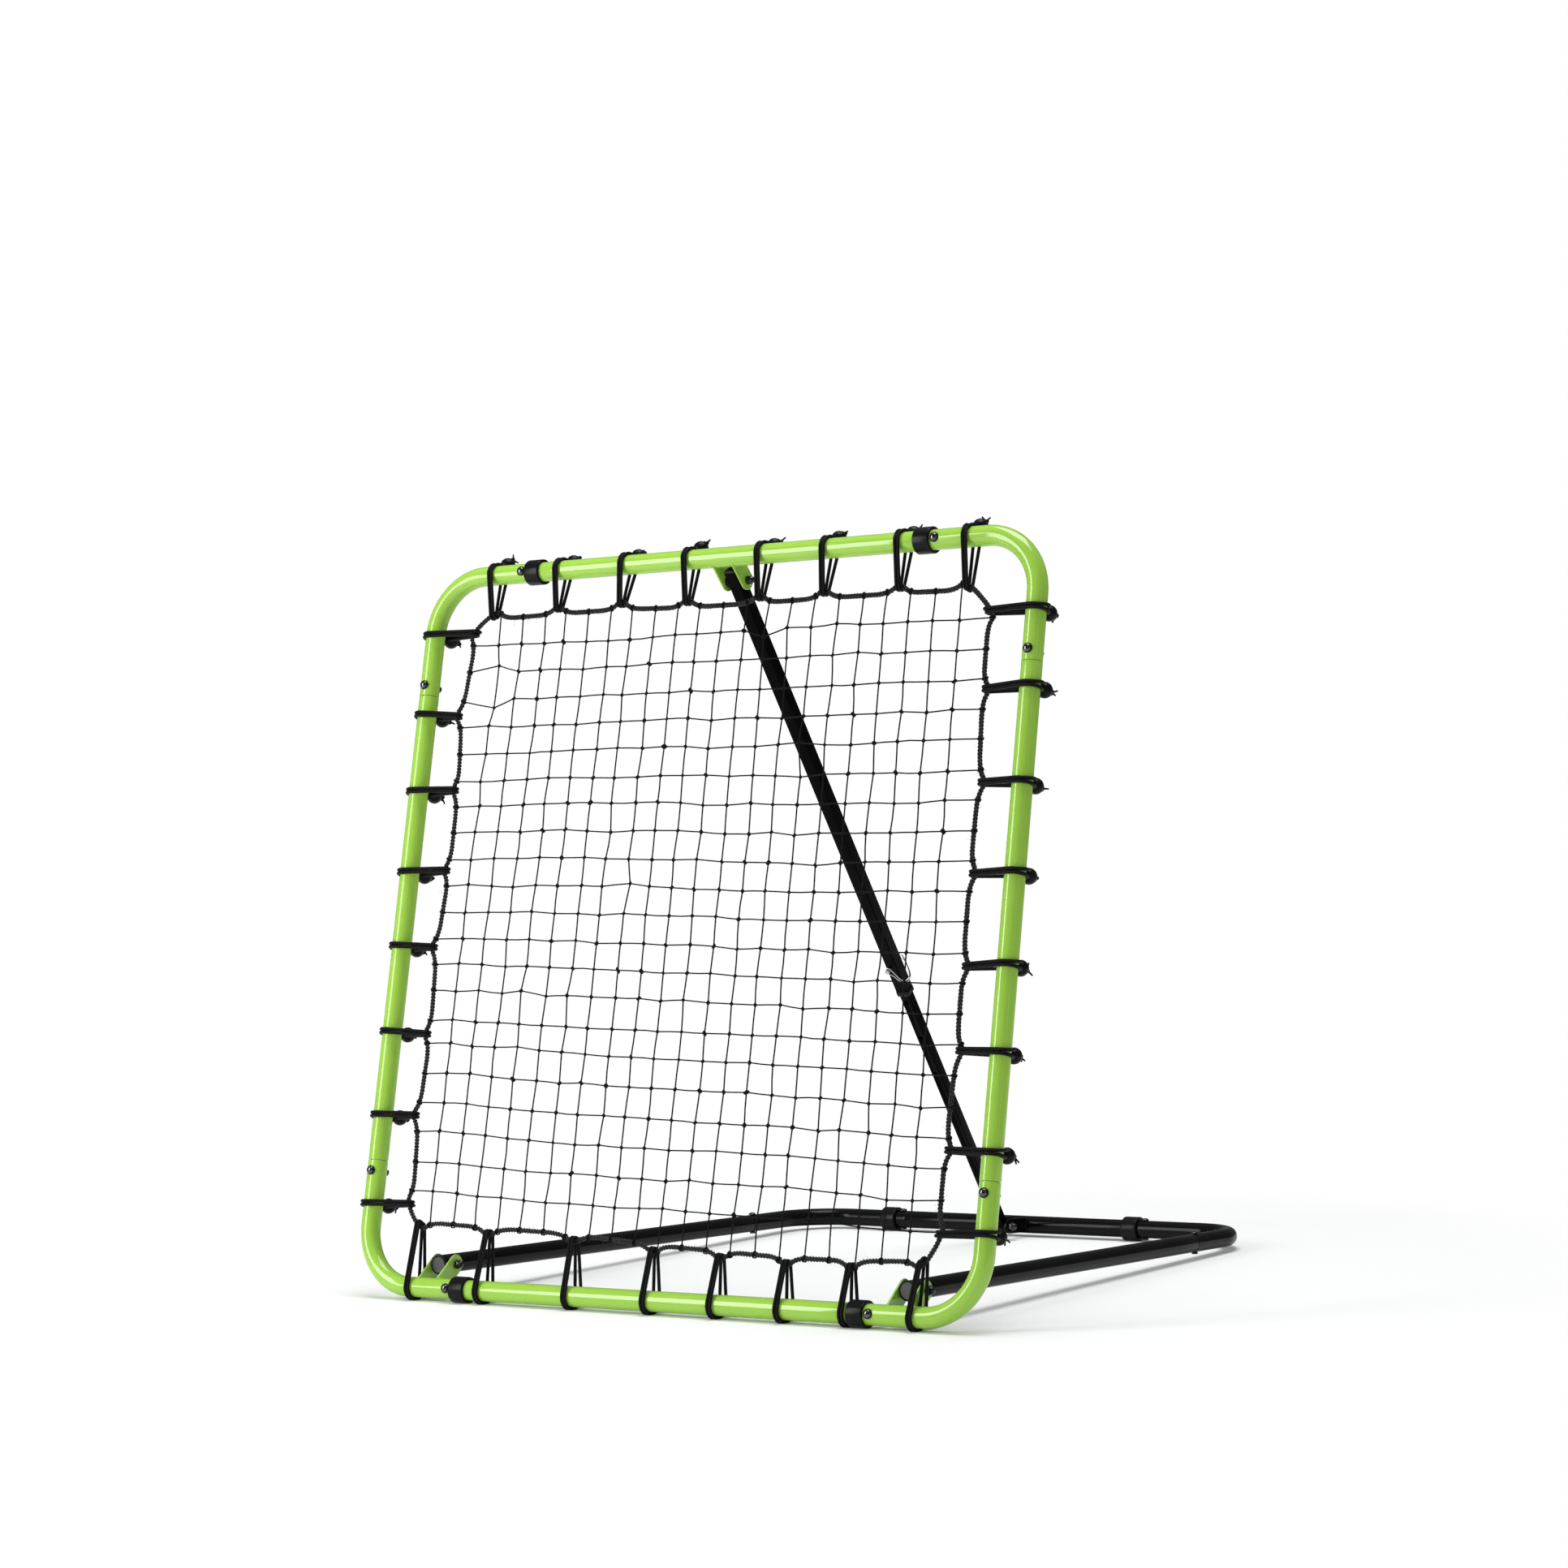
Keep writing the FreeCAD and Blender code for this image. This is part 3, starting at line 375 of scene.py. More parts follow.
def straight_tube(start, end, radius, normal, ease=0.6, neck=0.0, neck_r=0.0):
    """Closed grid of a round bar with eased rims. With a neck, both ends go on as a thinner
    cylinder for its length."""
    along = end_steps(np.linalg.norm(end - start), ease, 60.0)
    radii = eased_r(along, radius, ease)
    if neck:
        along = np.concatenate([[-neck, 0], along, along[-1] + np.array([0, neck])])
        radii = np.concatenate([[neck_r, neck_r], radii, [neck_r, neck_r]])
    path = start + unit(end - start) * along[:, None]
    return capped(carried(path, ring(radii, 48), normal))


def bent_tube(first, corner, last, radius, bend, normal, ease=0.8, sides=48):
    """Closed grid of a tube with one square bend: straight, quarter circle, straight. A bender
    leaves the bend drawn in a little at its inner and outer side, by the cube of how far a
    point faces them, and a small bulge on the inner side where the bend starts and ends."""
    into, onward = unit(corner - first), unit(last - corner)
    leg_in = np.linalg.norm(corner - first) - bend
    leg_out = np.linalg.norm(last - corner) - bend
    arc = bend * np.pi / 2
    along = end_steps(leg_in + arc + leg_out, ease, 4.0)
    before = np.minimum(along, leg_in)[:, None]
    angle = np.clip((along - leg_in) / bend, 0, np.pi / 2)[:, None]
    after = np.maximum(along - leg_in - arc, 0)[:, None]
    path = first + into * before + bend * (into * np.sin(angle) + onward * (1 - np.cos(angle)))
    path = path + onward * after
    tangent = unit(np.gradient(path, axis=0))
    across = unit(np.cross(np.broadcast_to(normal, path.shape), tangent))
    facing = (across @ unit(onward - into))[:, None] * np.cos(angles(sides))
    in_bend = np.exp(-((along - leg_in - arc / 2) / (arc * 0.42)) ** 4)[:, None]
    marks = sum(np.exp(-((along - edge) / 9.0) ** 2) for edge in (leg_in, leg_in + arc))[:, None]
    swell = 0.45 * marks * np.clip(facing, 0, 1) ** 2 - 0.35 * in_bend * np.abs(facing) ** 3
    offsets = ring(eased_r(along, radius, ease), sides) * (1 + swell / radius)[..., None]
    return capped(carried(path, offsets, normal))


side_places = {
    "top_tube": (Z * 2 * half_side, X),
    "bottom_tube": (Z * 0, X),
    "upright_left": (Z * half_side - X * half_side, Z),
    "upright_right": (Z * half_side + X * half_side, Z),
}
for node, (middle, way_along) in side_places.items():
    # each end stops just short of the corner, and its swaged neck shows in the fine slot
    reach = way_along * (half_side - seam_at - seam_slot)
    tube = straight_tube(middle - reach, middle + reach, tube_r, Y, ease=0.5, neck=1.6, neck_r=13.6)
    piece("painted_" + node, [tube], FRAME, green_coat, "net_frame", "green_paint", node)
frame_corners = {
    "bottom_left": (-half_side, 0.0),
    "bottom_right": (half_side, 0.0),
    "top_left": (-half_side, 2 * half_side),
    "top_right": (half_side, 2 * half_side),
}
corner_ways = []
for name, (hand_x, level) in frame_corners.items():
    corner = np.array([hand_x, 0, level])
    inward = -X * np.sign(hand_x)
    upward = Z if level == 0 else -Z
    corner_ways.append((corner, inward, upward))
    tube = bent_tube(corner + upward * seam_at, corner, corner + inward * seam_at, tube_r, bend_r, Y)
    piece("painted_corner_" + name, [tube], FRAME, green_coat, "net_frame", "green_paint", "corner_" + name)


# Joint bolts: one shiny domed chrome bolt by each seam of the net frame, on a black moulded
# saddle washer that fits the tube, with another washer and a black plated nut behind. The
# chrome is given a dark colour, a painted reflection of dark surroundings.
# painted reflection: the chrome's colour is darkened in place of the dark surroundings it would mirror
chrome_painted_dark = coated("chrome_dome_with_painted_dark_reflection", (0.13, 0.13, 0.135), tone=(0.11, 0.11, 0.115),
                     rub=(0.16, 0.16, 0.16), rough=0.06, rub_rough=0.12, grain=1500.0, depth=0.01,
                     Metallic=1.0)
black_nylon = coated("black_moulded_nylon", (0.005, 0.005, 0.0053), tone=(0.007, 0.007, 0.0075),
                     rub=(0.02, 0.02, 0.02), rough=0.36, rub_rough=0.5, grain=1800.0, depth=0.12,
                     Specular_IOR_Level=0.18)
black_plate = coated("black_plated_steel", (0.004, 0.004, 0.0044), tone=(0.007, 0.007, 0.008),
                     rub=(0.03, 0.03, 0.03), rough=0.18, rub_rough=0.34, grain=1400.0, depth=0.05,
                     Specular_IOR_Level=0.6)
bolt_from_seam = 17.0
washer_rise = 1.2
joint_head_r, joint_head_h, joint_shank_r = 6.5, 4.2, 3.0
joint_nut_across, joint_nut_h = 10.0, 6.5
shank_past_seat = 7.5


def turned(profile, centre, axis, sides=32):
    """Grid of a (radius, height) profile turned about an axis through centre."""
    profile = np.asarray(profile, float)
    axis = unit(np.asarray(axis, float))
    side = unit(np.cross(axis, [0.31, 0.87, 0.39]))
    angle = angles(sides)[:, None]
    around = np.cos(angle) * side + np.sin(angle) * np.cross(axis, side)
    return centre + profile[:, None, :1] * around + profile[:, None, 1:] * axis


def dome_profile(head_r, head_h, shank_r, length):
    """Half section of a domed bolt, from the end of its shank to the top of its head, which is
    a quarter of an ellipse on a short rim."""
    rise = np.linspace(0.08, 1, 9)[:, None] * np.pi / 2
    head = np.hstack([head_r * np.cos(rise), 0.4 + (head_h - 0.4) * np.sin(rise)])
    start = [[0, -length], [shank_r - 0.5, -length], [shank_r, 0.6 - length], [shank_r, 0],
             [head_r - 0.3, 0], [head_r, 0.3]]
    return np.vstack([start, head[:-1], [[0, head_h]]])


def hexagon(across, height, bore, centre, axis, chamfer=0.7):
    """Closed grid of a hexagon nut: a six-sided outline, held within a smaller circle at both
    faces, round a bore."""
    circle = turned([[1, 0]], np.zeros(3), axis, 48)
    hex_r = across / 2 / np.cos((angles(48) + np.pi / 6) % (np.pi / 3) - np.pi / 6)
    face_r, widest = across * 0.49, across * 0.6
    heights = np.array([0, 0, chamfer, height - chamfer, height, height])
    limits = np.array([bore, face_r, widest, widest, face_r, bore])
    radii = np.minimum(hex_r, limits[:, None])[..., None]
    rise = unit(np.asarray(axis, float)) * heights[:, None]
    return looped(centre + circle * radii + rise[:, None])


def saddle_washer(centre, out, along, bar_r):
    """Closed grid of a round washer, flat outside and hollowed to sit on a tube: its inner face
    drops below the tube's crest as the tube's own circle does."""
    radii = np.array([3.2, 7.3, 7.75, 7.75, 3.2])[:, None]
    tops = np.array([washer_rise, washer_rise, 0.8, 0.0, 0.0])[:, None]
    on_tube = np.array([0, 0, 0, 1, 1])[:, None]
    angle = angles(36)
    drop = bar_r - np.sqrt(bar_r ** 2 - (radii * np.sin(angle)) ** 2)
    level = bar_r + tops - drop * on_tube
    flat = np.cos(angle)[:, None] * along + np.sin(angle)[:, None] * np.cross(out, along)
    return looped(centre + radii[..., None] * flat + level[..., None] * out)


bolt_at = seam_at - bolt_from_seam
seat = tube_r + washer_rise
joints = []
for corner, inward, upward in corner_ways:
    joints.append((corner + inward * bolt_at, X))
    joints.append((corner + upward * bolt_at, Z))
joint_bolt = dome_profile(joint_head_r, joint_head_h, joint_shank_r, 2 * seat + shank_past_seat)
piece("plated_joint_bolts", [turned(joint_bolt, p - Y * seat, -Y) for p, way in joints],
      FRAME, chrome_painted_dark, "net_frame", "bright_zinc", "frame_joint_bolts")
piece("moulded_joint_washers", [saddle_washer(p, out, way, tube_r) for p, way in joints for out in (-Y, Y)],
      FRAME, black_nylon, "net_frame", "black_plastic", "frame_joint_washers")
piece("plated_joint_nuts",
      [hexagon(joint_nut_across, joint_nut_h, joint_shank_r, p + Y * seat, Y) for p, way in joints],
      FRAME, black_plate, "net_frame", "bright_zinc", "frame_joint_nuts", sharp=25.0)


# Rubber clips: thick split rings snapped over the tubes and open to the rear. The four
# low ones are the feet, pressed flat where they stand.
rubber = coated("black_clip_rubber", (0.005, 0.005, 0.005), tone=(0.0075, 0.0075, 0.0075),
                rub=(0.022, 0.021, 0.02), rough=0.27, rub_rough=0.45, grain=1300.0, depth=0.08,
                Specular_IOR_Level=0.12)
BASE = ((0.0, 534.549, 20.3), 1.865)
base_r = 15.0
clip_r = 20.8
clip_half = 14.5
clip_x = half_side - seam_at - 6.0
rear_clip_x = (-272.0, 224.0)


def softened(corners, radius, steps=4, closed=False):
    """Points with each corner drawn as a short quadratic curve that starts radius before it and
    ends radius after it, or half way along a shorter side."""
    corners = np.asarray(corners, float)
    back = np.roll(corners, 1, 0) - corners
    forth = np.roll(corners, -1, 0) - corners
    reach = np.broadcast_to(np.asarray(radius, float), len(corners))[:, None]
    lengths = [np.maximum(np.linalg.norm(v, axis=1, keepdims=True), 1e-9) for v in (back, forth)]
    start = corners + back * np.minimum(reach / lengths[0], 0.499)
    end = corners + forth * np.minimum(reach / lengths[1], 0.499)
    if not closed:
        start[0] = end[0] = corners[0]
        start[-1] = end[-1] = corners[-1]
    t = np.linspace(0, 1, steps + 1)[None, :, None]
    curve = start[:, None] * (1 - t) ** 2 + 2 * corners[:, None] * t * (1 - t) + end[:, None] * t * t
    curve = curve.reshape(-1, corners.shape[1])
    following = curve[:1] if closed else curve[-1:] + 1
    gaps = np.linalg.norm(np.diff(curve, axis=0, append=following), axis=1)
    return curve[gaps > 1e-6]


def clip(middle_x, level, inner_r):
    """Closed grid of a split ring about a tube along X: a rounded section swept round from one
    lip to the other, which shrinks at both lips."""
    section = softened([(inner_r, -clip_half), (clip_r, -clip_half), (clip_r, clip_half),
                        (inner_r, clip_half)], 1.6, closed=True)
    first, last = math.radians(28), math.radians(332)
    lip = np.array([0, 0.01, 0.03])
    body = np.linspace(first + 0.06, last - 0.06, 60)
    angle = np.concatenate([first + lip, body, last - lip[::-1]])
    shrunk = np.array([0.72, 0.88, 0.97])
    size = np.concatenate([shrunk, np.ones(60), shrunk[::-1]])
    rounded = section.mean(0) + (section - section.mean(0)) * size[:, None, None]
    r, x = rounded[..., 0], rounded[..., 1]
    rear, up = np.cos(angle)[:, None], np.sin(angle)[:, None]
    return capped(np.stack([middle_x + x, r * rear, level + r * up], -1))


def pressed_flat(made):
    """Moves what would be below the floor up to it."""
    co = np.empty(len(made.data.vertices) * 3, np.float32)
    made.data.vertices.foreach_get("co", co)
    co[2::3] = np.maximum(co[2::3], 0)
    made.data.vertices.foreach_set("co", co)
    made.data.update()


piece("moulded_top_clips", [clip(x, 2 * half_side, tube_r) for x in (-clip_x, clip_x)],
      FRAME, rubber, "net_frame", "black_rubber", "top_tube_clips")
front_feet = piece("moulded_front_feet", [clip(x, 0.0, tube_r) for x in (-clip_x, clip_x)],
                   FRAME, rubber, "net_frame", "black_rubber", "front_foot_clips")
rear_feet = piece("moulded_rear_feet", [clip(x, 0.0, base_r) for x in rear_clip_x],
                  BASE, rubber, "base", "black_rubber", "rear_foot_clips")
pressed_flat(front_feet)
pressed_flat(rear_feet)

# The base: two side rails, two bent corners and a rear tube of 30 mm steel in gloss black,
# with flat plastic caps in the rails' front ends and small domed bolts by the seams.
black_coat = coated("black_powder_coat", (0.0028, 0.0028, 0.003), tone=(0.004, 0.004, 0.0044),
                    rub=(0.014, 0.014, 0.014), rough=0.19, rub_rough=0.36, grain=900.0, depth=0.03,
                    Specular_IOR_Level=0.10, Coat_Weight=0.05, Coat_Roughness=0.06)
cap_grey = coated("grey_cap_face", (0.075, 0.075, 0.08), tone=(0.085, 0.085, 0.09),
                  rub=(0.12, 0.12, 0.12), rough=0.45, rub_rough=0.6, grain=1500.0, depth=0.1,
                  Specular_IOR_Level=0.4)
rail_x = 447.3
rail_seam = 199.0
rear_seam = rail_x - 211.3
foot_to_rear = 1066.7
foot_to_hinge = 43.5
rail_past_hinge = 18.0
rail_front = (foot_to_rear - foot_to_hinge) / math.cos(math.radians(BASE[1])) + rail_past_hinge
base_bolt_from_seam = 12.0
base_nut_h = 3.0
for hand, sign in (("left", -1.0), ("right", 1.0)):
    corner = X * sign * rail_x
    rail = straight_tube(corner - Y * rail_seam, corner - Y * rail_front, base_r, Z)
    piece("painted_base_rail_" + hand, [rail], BASE, black_coat, "base", "black_paint", "base_rail_" + hand)
    bend = bent_tube(corner - Y * rail_seam, corner, X * sign * rear_seam, base_r, bend_r, Z)
    piece("painted_base_corner_" + hand, [bend], BASE, black_coat, "base", "black_paint",
          "base_corner_" + hand)
piece("painted_base_rear_tube", [straight_tube(-X * rear_seam, X * rear_seam, base_r, Z)],
      BASE, black_coat, "base", "black_paint", "base_rear_tube")
rail_ends = [X * sign * rail_x - Y * rail_front for sign in (-1, 1)]
cap_profile = softened([(0, -9), (13.4, -9), (13.4, 0.02), (15.5, 0.02), (15.5, 2.5), (13.2, 2.5),
                        (12.9, 1.4), (0, 1.4)], 0.6, 3)
piece("moulded_rail_caps", [turned(cap_profile, end, -Y, 40) for end in rail_ends],
      BASE, black_nylon, "base", "black_plastic", "rail_end_caps")
face_profile = softened([(0, 1.3), (12.6, 1.3), (12.6, 2.4), (11.7, 2.4), (11.3, 2.0), (0, 2.0)], 0.4, 3)
piece("rail_cap_faces", [turned(face_profile, end, -Y, 40) for end in rail_ends],
      BASE, cap_grey, "base", "black_plastic")
base_joints = [X * sign * rail_x - Y * (rail_seam - base_bolt_from_seam) for sign in (-1, 1)]
base_joints += [X * sign * (rear_seam + base_bolt_from_seam) for sign in (-1, 1)]
base_bolt = dome_profile(joint_head_r, joint_head_h, joint_shank_r, 2 * base_r + base_nut_h)
piece("painted_base_bolts", [turned(base_bolt, p + Z * base_r, Z) for p in base_joints],
      BASE, black_plate, "base", "black_paint", "base_joint_bolts")
piece("painted_base_nuts",
      [hexagon(joint_nut_across, base_nut_h, joint_shank_r, p - Z * base_r, -Z) for p in base_joints],
      BASE, black_plate, "base", "black_paint", "base_joint_nuts", sharp=25.0)


# Brackets: pairs of 3 mm steel ears with a round tip about the pivot bolt, welded to the
# tubes with small beads and coated with them.
ear_thick = 3.0
# width over both ears, and radius of their tips
frame_bracket, frame_tip_r = 40.5, 15.5
rear_bracket, rear_tip_r = 33.0, 12.5
# the hinge bolts and the strut's rear bolt in the world, as (y, z)
hinge_world = (-488.651, 53.617)
rear_pivot_world = (467.849, 24.3)


def ear(x, pivot, tip_r, bar, bar_r, hole_r=4.05):
    """Closed grid of one ear: hole, face, eased edge, other face. Its outline is a half circle
    about the pivot, two straight sides and the arc of the tube that it stands on."""
    down = unit(bar - pivot)
    side = np.array([-down[1], down[0]])
    reach = np.linalg.norm(bar - pivot)
    foot = reach - math.sqrt(bar_r ** 2 - tip_r ** 2) if bar_r > tip_r else reach
    tip = np.linspace(-np.pi / 2, np.pi / 2, 17)[:, None]
    seat_arc = np.linspace(1, -1, 13)[:, None] * math.asin(min(1, tip_r / bar_r))
    share = np.array([[0.35], [0.7]])
    outline = np.vstack([-down * tip_r * np.cos(tip) + side * tip_r * np.sin(tip),
                         side * tip_r + down * foot * share,
                         down * (reach - bar_r * np.cos(seat_arc)) + side * bar_r * np.sin(seat_arc),
                         -side * tip_r + down * foot * share[::-1]])
    hole = unit(outline) * hole_r
    inset = outline + unit(outline.mean(0) - outline) * 0.5
    loops = [(hole, 0), (inset, 0), (outline, 0.5), (outline, ear_thick - 0.5), (inset, ear_thick),
             (hole, ear_thick)]
    return looped(np.stack([np.insert(flat + pivot, 0, x + depth, axis=1) for flat, depth in loops]))


def bead(x, bar, bar_r, pivot, tip_r):
    """Closed grid of a weld bead on the tube along an ear's foot: a bar on an arc, whose radius
    ripples with a sine."""
    down = unit(bar - pivot)
    side = np.array([-down[1], down[0]])
    angle = np.linspace(-1, 1, 40)[:, None] * math.asin(min(1, tip_r / bar_r))
    arc = bar + (bar_r + 0.2) * (side * np.sin(angle) - down * np.cos(angle))
    radius = 1.35 + 0.15 * np.sin(np.arange(40) * 1.9)
    return capped(carried(np.insert(arc, 0, x, axis=1), ring(radius, 10), X))


def bracket(name, node, middle_x, width, pivot, tip_r, bar, bar_r, where, finish, body, slot):
    """Both ears of a bracket with a weld bead on the outside of each."""
    grids = []
    for start, outside in ((middle_x - width / 2, 0.0), (middle_x + width / 2 - ear_thick, ear_thick)):
        grids.append(ear(start, pivot, tip_r, bar, bar_r))
        grids.append(bead(start + outside, bar, bar_r, pivot, tip_r))
    piece(name, grids, where, finish, body, slot, node)


def in_place(point, where):
    """A world point (y, z) in millimetres, in the drawing of a place."""
    origin, degrees = where
    s, c = math.sin(math.radians(degrees)), math.cos(math.radians(degrees))
    y, z = point[0] - origin[1], point[1] - origin[2]
    return np.array([y * c - z * s, y * s + z * c])


hinge = in_place(hinge_world, FRAME)
rear_pivot = in_place(rear_pivot_world, BASE)
top_pivot = np.array([37.0, 2 * half_side - 29.4])
top_bar = np.array([0, 2 * half_side])
for hand, sign in (("left", -1), ("right", 1)):
    bracket("painted_hinge_bracket_" + hand, "hinge_bracket_" + hand, sign * rail_x, frame_bracket, hinge,
            frame_tip_r, np.zeros(2), tube_r, FRAME, green_coat, "net_frame", "green_paint")
bracket("painted_top_strut_bracket", "top_strut_bracket", 0.0, frame_bracket, top_pivot,
        frame_tip_r, top_bar, tube_r, FRAME, green_coat, "net_frame", "green_paint")
bracket("painted_rear_strut_bracket", "rear_strut_bracket", 0.0, rear_bracket, rear_pivot,
        rear_tip_r, np.zeros(2), base_r, BASE, black_coat, "base", "black_paint")


# Pivot bolts: 8 mm domed bolts in bright zinc, put in from the left through ears and tubes,
# each with a black domed nut at the right, and plastic spacers and bushes between what turns.
zinc = coated("bright_zinc_plate", (0.62, 0.63, 0.66), tone=(0.56, 0.58, 0.62), rub=(0.42, 0.42, 0.44),
              rough=0.11, rub_rough=0.26, grain=1500.0, depth=0.04, Metallic=1.0)
pivot_head_r, pivot_head_h, pivot_shank_r = 7.5, 5.0, 4.0
pivot_nut_across, pivot_nut_h, pivot_nut_bore = 13.0, 7.5, 4.1
nut_dome_r, nut_dome_h = 5.9, 6.5
bolt_past_ears = 7.0


def pivot_hardware(label, bolts_node, nuts_node, centres, width, where, body):
    """Domed bolts and their domed nuts for brackets of one width. A nut is a hexagon with half
    an ellipsoid on it."""
    bolt = dome_profile(pivot_head_r, pivot_head_h, pivot_shank_r, width + bolt_past_ears)
    bolts = [turned(bolt, p - X * width / 2, -X) for p in centres]
    piece("plated_%s_bolts" % label, bolts, where, zinc, body, "bright_zinc", bolts_node)
    rise = np.linspace(0, 1, 8) * np.pi / 2
    dome = np.stack([nut_dome_r * np.cos(rise), pivot_nut_h + nut_dome_h * np.sin(rise)], -1)
    dome[-1, 0] = 0
    sunk = pivot_nut_h - 0.4
    dome = np.vstack([[(0, sunk), (nut_dome_r, sunk)], dome])
    nuts = []
    for p in centres:
        outside = p + X * width / 2
        nuts.append(hexagon(pivot_nut_across, pivot_nut_h, pivot_nut_bore, outside, X))
        nuts.append(turned(dome, outside, X, 24))
    piece("capped_%s_nuts" % label, nuts, where, black_plate, body, "black_plastic", nuts_node, sharp=30.0)


def moulded_black(*nodes):
    """Gives the nylon finish to nodes that are shown as they are in the frame."""
    for node in nodes:
        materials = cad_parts[node].data.materials
        materials.clear()
        materials.append(black_nylon)


hinge_centres = [X * sign * rail_x + Y * hinge[0] + Z * hinge[1] for sign in (-1, 1)]
top_centre = Y * top_pivot[0] + Z * top_pivot[1]
rear_centre = Y * rear_pivot[0] + Z * rear_pivot[1]
pivot_hardware("hinge", "hinge_bolts", "hinge_nuts", hinge_centres, frame_bracket, FRAME, "net_frame")
pivot_hardware("strut_top", "strut_top_bolt", "strut_top_nut", [top_centre], frame_bracket, FRAME,
               "net_frame")
pivot_hardware("strut_rear", "strut_rear_bolt", "strut_rear_nut", [rear_centre], rear_bracket, BASE, "base")
moulded_black("hinge_spacers", "strut_top_bushes", "strut_rear_bushes")

# The strut: a square outer tube hung from the top bracket, in satin black, and a square
# inner tube with a row of round holes that slides in it and stands on the rear bracket.
satin_black = coated("satin_black_coat", (0.0022, 0.0022, 0.0024), tone=(0.0034, 0.0034, 0.0036),
                     rub=(0.011, 0.0107, 0.0104), rough=0.40, rub_rough=0.5, grain=1100.0, depth=0.06,
                     Specular_IOR_Level=0.02)
top_world = placed([0, *top_pivot], FRAME)
strut_way = np.array([0, *rear_pivot_world]) - top_world
strut_length = np.linalg.norm(strut_way)
# drawn hanging straight down from the top bolt, at height zero, and swung to the rear
STRUT = (tuple(top_world), -math.degrees(math.atan2(strut_way[1], -strut_way[2])))
outer_side, outer_wall = 21.5, 0.8
inner_side, inner_wall = 17.5, 1.2
corner_r = 2.0
outer_top, outer_low = 20.0, -806.0
pin_at = -750.0
inner_above_pin = 237.0
inner_past_bolt = 8.0
hole_r = 4.0
hole_spacing = 75.0
shown_holes = 4


def squares(*rows):
    """Grid of squares with rounded corners, each a (side, corner radius, height)."""
    grid = []
    for side, corner, height in rows:
        h = side / 2
        square = softened([(h, -h), (h, h), (-h, h), (-h, -h)], corner, 5, True)
        grid.append(np.insert(square, 2, height, axis=1))
    return np.stack(grid)


def square_tube(side, wall, low, high):
    """Closed grid of a hollow square tube: outer wall, bevelled rim, inner wall, bevelled rim."""
    inside, inner_corner = side - 2 * wall, corner_r - wall
    return looped(squares(
        (side, corner_r, low + 0.3), (side, corner_r, high - 0.3), (side - 0.5, corner_r, high),
        (inside, inner_corner, high), (inside, inner_corner, low), (side - 0.5, corner_r, low)))


piece("painted_strut_outer", [square_tube(outer_side, outer_wall, outer_low, outer_top)],
      STRUT, satin_black, "strut_outer", "black_paint", "strut_outer_tube")
inner_tube = square_tube(inner_side, inner_wall, -strut_length - inner_past_bolt, pin_at + inner_above_pin)
inner = piece("painted_strut_inner", [inner_tube], STRUT, satin_black, "strut_inner", "black_paint",
              "strut_inner_tube")
drill_bit = [(0, -20), (hole_r, -20), (hole_r, 20), (0, 20)]
drill = piece("drill", [turned(drill_bit, Z * (pin_at - k * hole_spacing), Y) for k in range(shown_holes)],
              STRUT, satin_black, "strut_inner", None)
cut = inner.modifiers.new("holes", "BOOLEAN")
cut.object = drill
cut.operation = "DIFFERENCE"
cut.solver = "EXACT"
bpy.context.view_layer.update()
drilled = bpy.data.meshes.new_from_object(inner.evaluated_get(bpy.context.evaluated_depsgraph_get()))
inner.modifiers.clear()
inner.data = drilled
bpy.data.objects.remove(drill)

plug_side = outer_side - 2.2
plug_rim = outer_top + 1.0
plug_dome = 5.0
plug_rows = [(plug_side, corner_r, 7.0), (plug_side, corner_r, outer_top),
             (outer_side, corner_r, outer_top + 0.05), (outer_side, corner_r, plug_rim)]
for angle in np.linspace(0, np.pi / 2, 8)[1:]:
    # the dome narrows as a cosine while it rises as a sine, and its corners get rounder
    side = outer_side * max(math.cos(angle), 0.02)
    rise = plug_dome * math.sin(angle)
    plug_rows.append((side, min(corner_r + 1.4 * rise, 0.49 * side), plug_rim + rise))
piece("moulded_strut_top_plug", [capped(squares(*plug_rows))], STRUT, black_nylon, "strut_outer",
      "black_plastic", "strut_top_plug")
sleeve_bore = outer_side - 2 * outer_wall
sleeve_top, sleeve_low = outer_low + 4.0, outer_low - 5.0
sleeve = squares((sleeve_bore, 1.2, sleeve_top), (22.3, 2.4, sleeve_top), (22.9, 2.8, sleeve_top - 0.5),
                 (22.9, 2.8, sleeve_low + 0.5), (22.3, 2.4, sleeve_low), (sleeve_bore, 1.2, sleeve_low))
piece("moulded_strut_sleeve", [looped(sleeve)], STRUT, black_nylon, "strut_outer", "black_plastic",
      "strut_sleeve")
moulded_black("strut_bottom_plug")

# The lock pin: a bright turned pin through both tubes, and the doubled spring wire on its
# head that hangs down beside the strut and snaps over the tip behind it.
pin_r = 3.0
pin_head_r = 4.0
pin_head_half = 2.75
head_y = -outer_side / 2 - 12.8
tip_y = outer_side / 2 + 10.8
wire_r = 0.9
wire_reach = 47.0
wire_past_pin = 5.0
pin_head = softened([(0, -pin_head_half), (pin_head_r, -pin_head_half), (pin_head_r, pin_head_half),
                     (pin_r, pin_head_half)], 0.8, 3)
round_tip = np.linspace(0, np.pi / 2, 6)
pin_tip = np.stack([pin_r * np.cos(round_tip), tip_y - head_y - pin_r + pin_r * np.sin(round_tip)], -1)
pin_tip[-1, 0] = 0
piece("plated_lock_pin", [turned(np.vstack([pin_head, pin_tip]), Y * head_y + Z * pin_at, Y)], STRUT,
      zinc, "lock_pin", "bright_zinc", "lock_pin")
wire_end = head_y + math.sqrt(wire_reach ** 2 - wire_past_pin ** 2)
